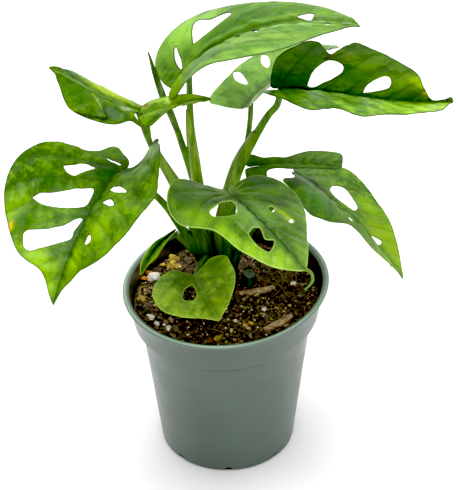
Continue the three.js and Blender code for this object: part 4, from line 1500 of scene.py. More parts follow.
@dataclass
class PottingMix:
    """Peat that fills the pot, with crumbs, bark and grit strewn on it and fine dead roots over it.

    reach is how far out crumbs lie, and root_start and root_reach how far out a root begins and ends. segments
    is the number of sides of the peat.
    """

    pot: NurseryPot
    top: float = 91.5
    ripple: float = 0.8
    crumbs: int = 3400
    roots: int = 26
    reach: float = 48.2
    root_start: float = 42
    root_reach: float = 44.5
    segments: int = 256
    seed: int = 11

    def level(self, x: Array, y: Array) -> Array:
        """Gives the soil's height.

        Args:
            x: The places to the right, in millimetres.
            y: The places to the back.

        Returns:
            The heights in millimetres.
        """
        broad = np.sin(0.16 * x + 1) * np.cos(0.14 * y - 0.6)
        fine = np.sin(0.47 * x) * np.sin(0.53 * y + 2)
        fade = np.clip(1 - (np.hypot(x, y) / 48.0) ** 8, 0, 1)
        return self.top + fade * self.ripple * (broad + 0.6 * fine)

    def height_at(self, x: float, y: float) -> float:
        """Gives the soil's height in millimetres at one place."""
        return float(self.level(np.array(x), np.array(y)))

    def build(self) -> Piece:
        """Makes the body of the soil: a rough crumbly top over a plain root ball.

        Returns:
            The body as a closed mesh.
        """
        rings = [(0.2, 2.3), (34.0, 2.3), (43.6, 82.7), (47.1, 83.9)]
        rings += [(48.7 * (1 - i / 90), self.top) for i in range(90)]
        piece = self.pot.turned(rings, "peat", self.segments)
        places = self.pot.sprung(coordinates(piece) / MM)
        upper = places[:, 2] > self.top - 0.6
        x, y = places[upper, 0], places[upper, 1]
        layers = ((1.1, 0.33, (0, 0, 0.5)), (0.75, 0.9, (0, 0, 4.2)), (0.4, 2.0, (0, 0, 8.8)))
        rough = np.array([bumps(a, b, layers) for a, b in zip(x, y)])
        fade = smoothstep(50.5, 47.0, np.hypot(x, y))
        places[upper, 2] = self.level(x, y) + rough * (0.35 + 0.65 * fade)
        set_coordinates(piece, places * MM)
        smooth(piece, 60)
        return piece

    def within(self, reach: float, angle: float) -> Point:
        """Gives the place on the soil of the sprung pot for a reach and angle in the round one."""
        spot = self.pot.sprung(np.array([[reach * math.cos(angle), reach * math.sin(angle), self.top]]))[0]
        return float(spot[0]), float(spot[1])

    @staticmethod
    def crumb_kinds() -> list[tuple[list[Array], Array]]:
        """Forms the lumps that all crumbs are made from.

        Returns:
            For small crumbs and then for large ones: six lumps as rows of points, and the triangles of each.
        """
        deselect()
        kinds = []
        for level in (1, 2):
            bpy.ops.mesh.primitive_ico_sphere_add(subdivisions=level, radius=1.0)
            ball = bpy.context.object
            shapes = []
            for k in range(6):
                places = coordinates(ball)
                bump = [1 + 0.7 * noise.noise(Vector(p) * 1.3 + Vector((k * 7.0, 0, 0))) for p in places]
                shapes.append(places * np.array(bump)[:, None])
            kinds.append((shapes, np.array([tuple(p.vertices) for p in ball.data.polygons])))
            bpy.data.objects.remove(ball)
        return kinds

    def scatter(self) -> Piece:
        """Strews crumbs over the soil, each half sunk in it, and sets the larger ones in their places.

        Returns:
            All crumbs as one mesh, with each one's colour in its tint attribute.
        """
        rng = random.Random(self.seed)
        kinds = self.crumb_kinds()
        tints, weights = [linear(*tint) for tint, _ in CRUMB_TINTS], [weight for _, weight in CRUMB_TINTS]
        strewn = []
        for _ in range(self.crumbs):
            tint = rng.choices(tints, weights)[0]
            size = min(rng.lognormvariate(-0.75, 0.45), 1.7) * (0.75 if max(tint) > 0.4 else 1.0)
            stretch = (size * rng.uniform(0.7, 1.7), size * rng.uniform(0.6, 1.0), size * rng.uniform(0.4, 0.8))
            out = (self.reach - 1.3 * max(stretch)) * math.sqrt(rng.random())
            x, y = self.within(out, rng.uniform(0, 2 * math.pi))
            turn = Matrix.Rotation(rng.uniform(0, 2 * math.pi), 3, "Z")
            turn = turn @ Matrix.Rotation(rng.uniform(-0.5, 0.5), 3, "X")
            z = self.height_at(x, y) + rng.uniform(0.0, 0.6) + 0.2 * stretch[2]
            shapes, faces = kinds[size > 0.6]
            shape = (shapes[rng.randrange(6)] * stretch) @ np.array(turn.transposed()) + (x, y, z)
            shade = rng.uniform(0.6, 1.4)
            strewn.append((shape, faces, [c * shade for c in tint]))
        shapes, faces = kinds[1]
        for x, y, size, tint in PLACED:
            shape = shapes[rng.randrange(6)] * (size, 0.8 * size, 0.6 * size)
            strewn.append((shape + (x, y, self.height_at(x, y) + 0.6 * size), faces, tint))
        starts = np.cumsum([0] + [len(shape) for shape, _, _ in strewn])
        triangles = np.vstack([faces + start for (_, faces, _), start in zip(strewn, starts)])
        places = np.vstack([shape for shape, _, _ in strewn])
        piece = meshed("soil_crumbs", (places * MM).tolist(), triangles.tolist())
        attribute(piece, "tint", np.vstack([np.tile(tint, (len(shape), 1)) for shape, _, tint in strewn]))
        smooth(piece, 50)
        return piece

    def rootlets(self) -> Piece:
        """Lays fine dead roots over the soil: the looped ones as listed and the rest at random.

        Returns:
            All the roots as one piece.
        """
        rng = random.Random(self.seed + 1)
        strands = [Tube([(x, y, self.height_at(x, y) + up) for x, y, up in path], radii) for path, radii in ROOTLETS]
        for _ in range(self.roots):
            out, angle = self.root_start * math.sqrt(rng.random()), rng.uniform(0, 2 * math.pi)
            way = rng.uniform(0, 2 * math.pi)
            x, y, path = out * math.cos(angle), out * math.sin(angle) - 1, []
            for _ in range(4):
                path.append((x, y, self.height_at(x, y) + rng.uniform(0.3, 1.2)))
                way += rng.uniform(-0.8, 0.8)
                step = rng.uniform(1.2, 2.6)
                x, y = x + step * math.cos(way), y + step * math.sin(way)
                if math.hypot(x, y + 1) > self.root_reach:
                    break
            if len(path) > 2:
                strands.append(Tube(path, (0.16, 0.24, 0.12)))
        piece = joined([strand.build(f"rootlet_{i}", 1) for i, strand in enumerate(strands)], "rootlets")
        smooth(piece, 60)
        return piece

    def dress(self) -> None:
        """Builds the soil and what lies on it, in place of the plain root ball."""
        peat = GrainFinish("peat", linear(27, 24, 19), linear(110, 94, 70), 420, 0.9, 0.0009)
        dressed(self.build(), Slot.POTTING_MIX, peat.make(), node="soil")
        dressed(self.scatter(), Slot.POTTING_MIX, CrumbFinish().make())
        fibre = GrainFinish("rootlet", linear(84, 70, 36), linear(150, 134, 72), 900, 0.7, 0.0002)
        dressed(self.rootlets(), Slot.POTTING_MIX, fibre.make())


@dataclass
class Pebble:
    """A rounded lump on the soil: a white grain or a chip of bark."""

    name: str
    radius: float
    at: Point
    stretch: Colour
    turn: float
    rough: float = 0.18

    @property
    def slot(self) -> Slot:
        """Tells a white grain from a chip of bark by its name."""
        return Slot.PERLITE if self.name.startswith("perlite") else Slot.BARK

    def dress(self, mix: PottingMix, material: Material) -> None:
        """Builds the lump in place of the plain solid.

        Args:
            mix: The soil that it lies on.
            material: Its finish.
        """
        deselect()
        bpy.ops.mesh.primitive_ico_sphere_add(subdivisions=4, radius=self.radius * MM)
        piece = bpy.context.object
        piece.name = self.name + "_lump"
        x, y = self.at
        places = coordinates(piece) / MM
        unit = places / self.radius
        bump = [1 + self.rough * (noise.noise(Vector(p) * 1.4 + Vector((x, y, 0)))
                                  + 0.45 * noise.noise(Vector(p) * 4.0 + Vector((y, x, 0)))) for p in unit]
        places *= np.array(bump)[:, None] * np.array(self.stretch)
        height = mix.height_at(x, y) + self.radius * self.stretch[2] * 0.45
        set_coordinates(piece, (spun(places, self.turn) + (x, y, height)) * MM)
        smooth(piece, 60)
        dressed(piece, self.slot, material, node=self.name)


@dataclass
class BarkStrip:
    """A split flake of bark that lies nearly flat."""

    name: str
    start: Point
    end: Point
    width: float
    thickness: float
    rise: float
    seed: float

    def dress(self, mix: PottingMix, material: Material) -> None:
        """Builds the flake in place of the plain solid.

        Args:
            mix: The soil that it lies on.
            material: Its finish.
        """
        deselect()
        run = Vector(self.end) - Vector(self.start)
        bpy.ops.mesh.primitive_cube_add(size=1.0)
        piece = bpy.context.object
        piece.name = self.name + "_flake"
        edit("SELECT")
        bpy.ops.transform.resize(value=(run.length, self.width, self.thickness))
        bpy.ops.mesh.subdivide(number_cuts=31)
        bpy.ops.object.mode_set(mode="OBJECT")
        places = coordinates(piece)
        s = places[:, 0] / run.length
        ragged = np.array([noise.noise(Vector((0, y * 1.1, self.seed))) for y in places[:, 1]])
        side = np.array([noise.noise(Vector((x * 0.35, self.seed, 2.0 if y > 0 else 9.0))) for x, y, _ in places])
        places[:, 0] *= 1 + 0.1 * ragged * np.abs(2 * s) ** 3
        places[:, 1] *= (1 - 0.45 * np.abs(s * 2) ** 3) * (0.95 + 0.35 * side)
        ridges = np.array([noise.noise(Vector((x * 0.12, y * 2.2, self.seed + z * 0.3))) for x, y, z in places])
        round_off = 1 - 0.35 * np.abs(places[:, 1] / self.width * 2) ** 2
        places[:, 2] = places[:, 2] * round_off + 0.25 * self.thickness * np.cos(places[:, 1] / self.width * np.pi)
        places[:, 2] += self.rise * s * s * 4 + 0.28 * ridges
        places = spun(places, math.atan2(run.y, run.x))
        x, y = (Vector(self.start) + Vector(self.end)) / 2
        places += (x, y, mix.height_at(x, y) + self.thickness * 0.35)
        set_coordinates(piece, places * MM)
        smooth(piece, 40)
        dressed(piece, Slot.BARK, material, node=self.name)


# ---- studio


@dataclass
class Studio:
    """A plain pale floor, soft light all round and the camera.

    Each of the lamps is its name, its place and size in metres and its power in watts; all of them look at aim.
    """

    tilt: float = 36.1
    turn: float = -1.0
    lens: float = 142.64
    stand: Point = (2.35, -807.99, 713.30)
    floor_shade: float = 0.80
    world: float = 1.0
    black: float = 0.032
    aim: Point = (0, 0, 0.15)
    lamps: Sequence[tuple[str, Point, float, float]] = (
        ("top_light", (-0.03, 0.28, 1.7), 1.5, 31.0),
        ("front_light", (0.15, -1.3, 1.1), 1.2, 9.0),
    )

    def build(self) -> None:
        """Makes the floor, the lights and the camera."""
        self.floor()
        world = bpy.data.worlds.new("white_surround")
        world.use_nodes = True
        sky = next(n for n in world.node_tree.nodes if n.type == "BACKGROUND")
        sky.inputs[0].default_value, sky.inputs[1].default_value = (1, 1, 1, 1), self.world
        bpy.context.scene.world = world
        for name, place, size, power in self.lamps:
            bpy.ops.object.light_add(type="AREA", location=place)
            lamp = bpy.context.object
            lamp.name = name
            lamp.data.shape, lamp.data.size, lamp.data.energy = "DISK", size, power
            lamp.rotation_euler = (Vector(self.aim) - Vector(place)).to_track_quat("-Z", "Y").to_euler()
        self.camera()
        grade = bpy.context.scene.view_settings
        grade.view_transform = "Standard"
        grade.use_curve_mapping = True
        grade.curve_mapping.black_level = (self.black,) * 3
        grade.curve_mapping.update()

    def floor(self) -> None:
        """Lays the floor, a hair under the pot."""
        deselect()
        bpy.ops.mesh.primitive_plane_add(size=8.0, location=(0, 0, -0.0002))
        floor = bpy.context.object
        floor.name = "floor"
        g = Graph("pale_floor")
        shade = g.span(g.noise(3, 2.0), 0.3, 0.7, self.floor_shade - 0.01, self.floor_shade + 0.01)
        grey = g.add("ShaderNodeCombineColor", {0: shade, 1: shade, 2: shade}).outputs[0]
        floor.data.materials.append(g.finish(grey, 0.9, Specular_IOR_Level=0.1))

    def camera(self) -> None:
        """Sets the camera up at the plant's own viewing angle."""
        tilt, turn = math.radians(self.tilt), math.radians(self.turn)
        back = Vector((0, -math.cos(tilt), math.sin(tilt)))
        level, above = Vector((1, 0, 0)), Vector((1, 0, 0)).cross(-back)
        right = level * math.cos(turn) + above * math.sin(turn)
        upright = above * math.cos(turn) - level * math.sin(turn)
        data = bpy.data.cameras.new("camera")
        data.lens, data.sensor_width, data.clip_start = self.lens, 36.0, 0.01
        camera = linked("camera", data)
        facing = Matrix((right, upright, back)).transposed().to_4x4()
        camera.matrix_world = Matrix.Translation(Vector(self.stand) * MM) @ facing
        bpy.context.scene.camera = camera


# ---- this plant

# Shared mark colours: DARK paints shade on the blades, LIME light shining through them, GREY the grey sheen of their
# waxy face; BROWN is the blades' own brown where they have dried.
DARK = (38, 78, 12)
LIME = (126, 160, 8)
GREY = (118, 150, 96)
BROWN = (84, 44, 24)

# The orange spot is the blade's own colour; its DARK marks paint shade round the holes and along the midrib, the LIME
# ones light shining through, the GREY one sheen, and its dark midrib line painted shade in the groove.
FRONT_LEFT = LeafFinish(
    "front_left", RICH, tip=0.35, margin=0.1, mottle=0.55, groove=0.25, vein=0.05, spine=linear(*DARK),
    spine_share=0.8, outline=linear(34, 64, 8), outline_share=0.7, gloss=0.2,
    marks=marks(
        (14, 64, 10, 6, LIME, 0.75, -25), (3, 78, 5, 7, LIME, 0.6), (-14, 46, 7, 10, LIME, 0.55),
        (-6, 62, 4, 8, LIME, 0.5, 15), (-22, 34, 9, 7, LIME, 0.3), (33, 46, 6, 12, LIME, 0.4),
        (31.5, 54, 1.3, 3.4, (196, 150, 24), 0.7), (7, 7, 10, 8, DARK, 0.75, 30), (1.5, 20, 3.2, 18, DARK, 0.75),
        (1.5, 48, 3, 16, DARK, 0.6), (27, 49, 5, 5, DARK, 0.8), (22, 40.5, 9, 2.4, DARK, 0.5, 25),
        (27, 27, 6, 4, DARK, 0.5), (7, 59, 3, 6, DARK, 0.5), (30, -1, 10, 5, DARK, 0.5),
        (24, 24, 9, 3, DARK, 0.5, -10), (-20, 14, 5, 4, DARK, 0.4), (-33, 1, 5, 10, DARK, 0.5),
        (-12, 6, 9, 5, GREY, 0.35),
    ),
)
# The thin dark marks paint shade in and round the blade's twisted pocket and the thin pale ones highlights on its
# creases; the red-brown mark at the base is the blade's own colour.
UPPER_LEFT = LeafFinish(
    "upper_left", Palette.of((34, 68, 2), (68, 98, 2), (112, 138, 8)), tip=0.1, margin=0.1, mottle=0.6, vein=0.02,
    spine=linear(126, 158, 52), spine_share=0.35, outline=linear(30, 56, 10), outline_share=0.6, gloss=0.15,
    marks=marks(
        (9, 15, 7, 18, (138, 164, 20), 0.9, -6), (-15.4, 17.5, 1.1, 6, (24, 44, 14), 0.85, 50),
        (6, 39, 2.6, 8, (40, 72, 26), 0.85, -20), (-9, 34, 8, 9, (44, 88, 4), 0.75),
        (-18, 27, 1.0, 17, (20, 38, 8), 0.95, 6), (-9.5, 22.4, 7, 0.6, (128, 154, 84), 0.6, 28),
        (-8, 19, 4, 1.4, (44, 70, 26), 0.7, 28), (-11.2, 15.6, 4.4, 5.6, (66, 92, 62), 0.9, -10),
        (-13.5, 19.5, 1.6, 3, (30, 54, 26), 0.8, -20), (-4, 8, 2.4, 4, (158, 178, 130), 0.6, 30),
        (1.4, 34, 1.2, 10, (140, 170, 90), 0.5), (13.5, -2, 3, 2.6, (110, 60, 34), 0.8),
    ),
)
# The pale band on the left half is a painted highlight, and the large pale patch beside it painted light over the
# shade that the blade above casts; the dark mark on the right half paints shade along the hanging edge, and the
# red-brown spot at the base is the blade's own colour.
UPPER_SMALL = LeafFinish(
    "upper_small", Palette.of((56, 88, 2), (92, 124, 4), (124, 152, 12)), tip=0.2, margin=0.1, mottle=0.6, vein=0.0,
    spine_share=0.0, groove=0.0, outline=linear(44, 74, 16), outline_share=0.8, gloss=0.12,
    marks=marks(
        (-8.5, 13, 2.6, 14, (132, 164, 66), 0.85, -4), (-4, 21, 8, 10, (176, 204, 100), 0.9),
        (9.5, 7, 2.0, 9, (40, 64, 14), 0.9, 16), (-8.5, 1, 2.2, 2, (88, 30, 12), 0.85),
        (2, 4, 4, 5, (104, 144, 40), 0.5),
    ),
)
# sides paints the right half lighter and bluer, as sheen, and the left half in shade; the dark marks on the left half
# paint shade, and the long pale and dark streaks on the right half paint highlight bands and the shade between them.
TOP = LeafFinish(
    "top", PALE, tip=0.2, margin=0.3, mottle=0.6, vein=0.1, sides=((1.1, 1.1, 1.2), (0.85, 0.92, 0.6)), streak=0.3,
    spine=linear(150, 184, 110), spine_share=0.3, outline=linear(30, 52, 10), outline_share=0.85, gloss=0.25,
    groove=0.15,
    marks=marks(
        (-9, 36, 6, 28, (44, 80, 10), 0.65), (-12, 62, 7, 12, (50, 90, 10), 0.6),
        (-24, 30, 8, 12, (62, 104, 10), 0.6), (-33, 50, 5, 26, (104, 136, 8), 0.7, 12),
        (-24, 10, 13, 16, (128, 170, 60), 0.8), (20, -2, 17, 14, (98, 128, 4), 1.0),
        (-8, 3, 4, 7, (64, 100, 24), 0.4), (5, 44, 2.2, 32, (146, 178, 124), 0.6),
        (11, 60, 2.4, 20, (70, 108, 40), 0.6), (10, 24, 2.4, 16, (74, 112, 44), 0.5),
        (20, 46, 3.4, 24, (128, 160, 60), 0.5), (28, 52, 3, 26, (70, 110, 24), 0.5),
        (0.5, 41, 1.2, 2.6, (20, 30, 8), 0.9), (-4, 68, 1.4, 4, (40, 52, 20), 0.8), (2, 86, 4, 3, (60, 72, 20), 0.7),
    ),
    under_marks=marks((15, -4, 18, 13, (100, 136, 14), 0.95)),
    dull=marks((20, -2, 20, 16, (0, 0, 0), 1.0)),
)
# sides paints a pale bluish sheen on the right half and shade on the left; the dark marks on the left half paint
# shade, the long pale streak on the right half a highlight and the darker one beside it shade; the brown and orange
# marks by the notch and the tip are the blade's own colour.
RIGHT = LeafFinish(
    "right", PLAIN, tip=0.35, margin=0.1, mottle=0.5, vein=0.06, sides=((2.3, 2.0, 4.6), (0.7, 0.74, 0.5)), gloss=0.4,
    outline=linear(34, 50, 8), outline_share=0.8, streak=0.4,
    marks=marks(
        (-24, 8, 8, 9, DARK, 0.8), (-6, 8, 5, 8, (44, 76, 24), 0.7), (-14, 34, 7, 8, (46, 92, 16), 0.5),
        (-20, 38, 4, 7, (120, 150, 24), 0.4), (-24, 28, 4, 6, (116, 144, 20), 0.3),
        (-14, 62, 6, 14, (120, 150, 20), 0.45), (-13, 72, 3, 10, (156, 176, 12), 0.7, -20),
        (-21.4, 17.4, 2.8, 0.9, (50, 28, 12), 0.95, -29), (-7, 77.5, 1.5, 3.4, (206, 160, 40), 0.7),
        (-2.4, 80, 1.2, 1.8, BROWN, 0.9), (-2.6, 91, 3, 3, (78, 66, 26), 0.85), (6, 34, 2, 22, (150, 180, 120), 0.5),
        (14, 30, 3, 16, (70, 104, 40), 0.5), (4, 74, 5, 12, (110, 140, 20), 0.5),
    ),
)
REAR = LeafFinish(
    "rear", PALE, tip=0.1, margin=0.1, mottle=0.25, vein=0.05, gloss=0.25, sides=((1.5, 1.34, 1.9), (1.44, 1.3, 1.8)),
    outline_share=0.2,
)
LOWER_RIGHT = LeafFinish(
    "lower_right", PLAIN, tip=0.7, margin=0.1, mottle=0.6, sides=((1.05, 1.05, 1.0), (1.15, 1.1, 1.0)), vein=0.05,
    gloss=0.3, outline_share=0.6,
    marks=marks(
        (16, 20, 10, 14, (48, 104, 10), 0.6), (5, 8, 3, 14, GREY, 0.5), (-18, 34, 6, 10, LIME, 0.6),
        (-10, 52, 8, 14, (122, 148, 4), 0.8), (12, 4, 8, 5, DARK, 0.6), (8, 52, 3.5, 16, DARK, 0.4),
    ),
)
INNER_RIGHT = LeafFinish(
    "inner_right", Palette.of((44, 74, 18), (76, 110, 28), (106, 138, 40)), tip=0.0, margin=0.0, mottle=0.6,
    vein=0.02, spine_share=0.0, gloss=0.25, outline=linear(26, 50, 10), outline_share=0.8,
)
# The large greyish pale patch paints sheen on the upper blade, the LIME marks light shining through, and the thin
# dark mark by the midrib and the dark midrib line paint the shadow in the midrib's groove.
FRONT = LeafFinish(
    "front", PLAIN, tip=0.3, margin=0.15, mottle=0.45, vein=0.12, fan=0.6, spine=linear(36, 66, 22), spine_share=0.75,
    outline=linear(160, 188, 104), outline_share=0.45, gloss=0.45,
    marks=marks(
        (2, 20, 12, 15, (124, 160, 82), 0.65), (29, 14, 9, 8, LIME, 0.6), (23, 29, 5, 9, LIME, 0.85),
        (18, 43, 6, 9, LIME, 0.85, 12), (9, 53, 8, 6, LIME, 0.8, 20), (-22, -6, 13, 7, (44, 82, 16), 0.75),
        (28, 2, 7, 6, (52, 88, 34), 0.6), (-4, -6, 14, 5, (52, 90, 22), 0.6), (15.4, 5.2, 7, 2.6, (34, 66, 26), 0.85),
        (3, 40, 1.4, 14, (58, 96, 30), 0.6), (-15.4, 24.6, 3.4, 7, (156, 182, 10), 1.0, 31),
        (-13, 23.6, 0.9, 6.4, (52, 84, 12), 0.9, 31), (-15, 22.4, 0.5, 5, (60, 92, 12), 0.7, 31),
        (-28, 22, 5, 12, (112, 146, 30), 0.45),
    ),
)
LOW_HEART = LeafFinish(
    "low_heart", Palette.of((60, 94, 20), (124, 156, 50), (164, 190, 66)), tip=0.35, margin=0.25, mottle=0.75,
    vein=0.1, gloss=0.3, outline=linear(160, 186, 90), outline_share=0.45, spine_share=0.12, groove=0.2,
    marks=marks(
        (5, 8, 8, 9, (60, 92, 24), 0.65), (-12, 6, 5, 10, (66, 104, 20), 0.5), (-12, -2, 9, 5, (74, 108, 30), 0.5),
        (12, 0, 9, 5, (74, 110, 34), 0.5), (16, 12, 5, 7, (140, 166, 40), 0.5), (-4, 26, 5, 5, (138, 162, 30), 0.5),
    ),
)
RIM_LEFT = LeafFinish(
    "rim_left", PLAIN, tip=0.5, margin=0.3, mottle=0.4, sides=((1.2, 1.15, 1.1), (1.5, 1.4, 1.4)),
    outline=linear(170, 192, 110), outline_share=0.25,
)

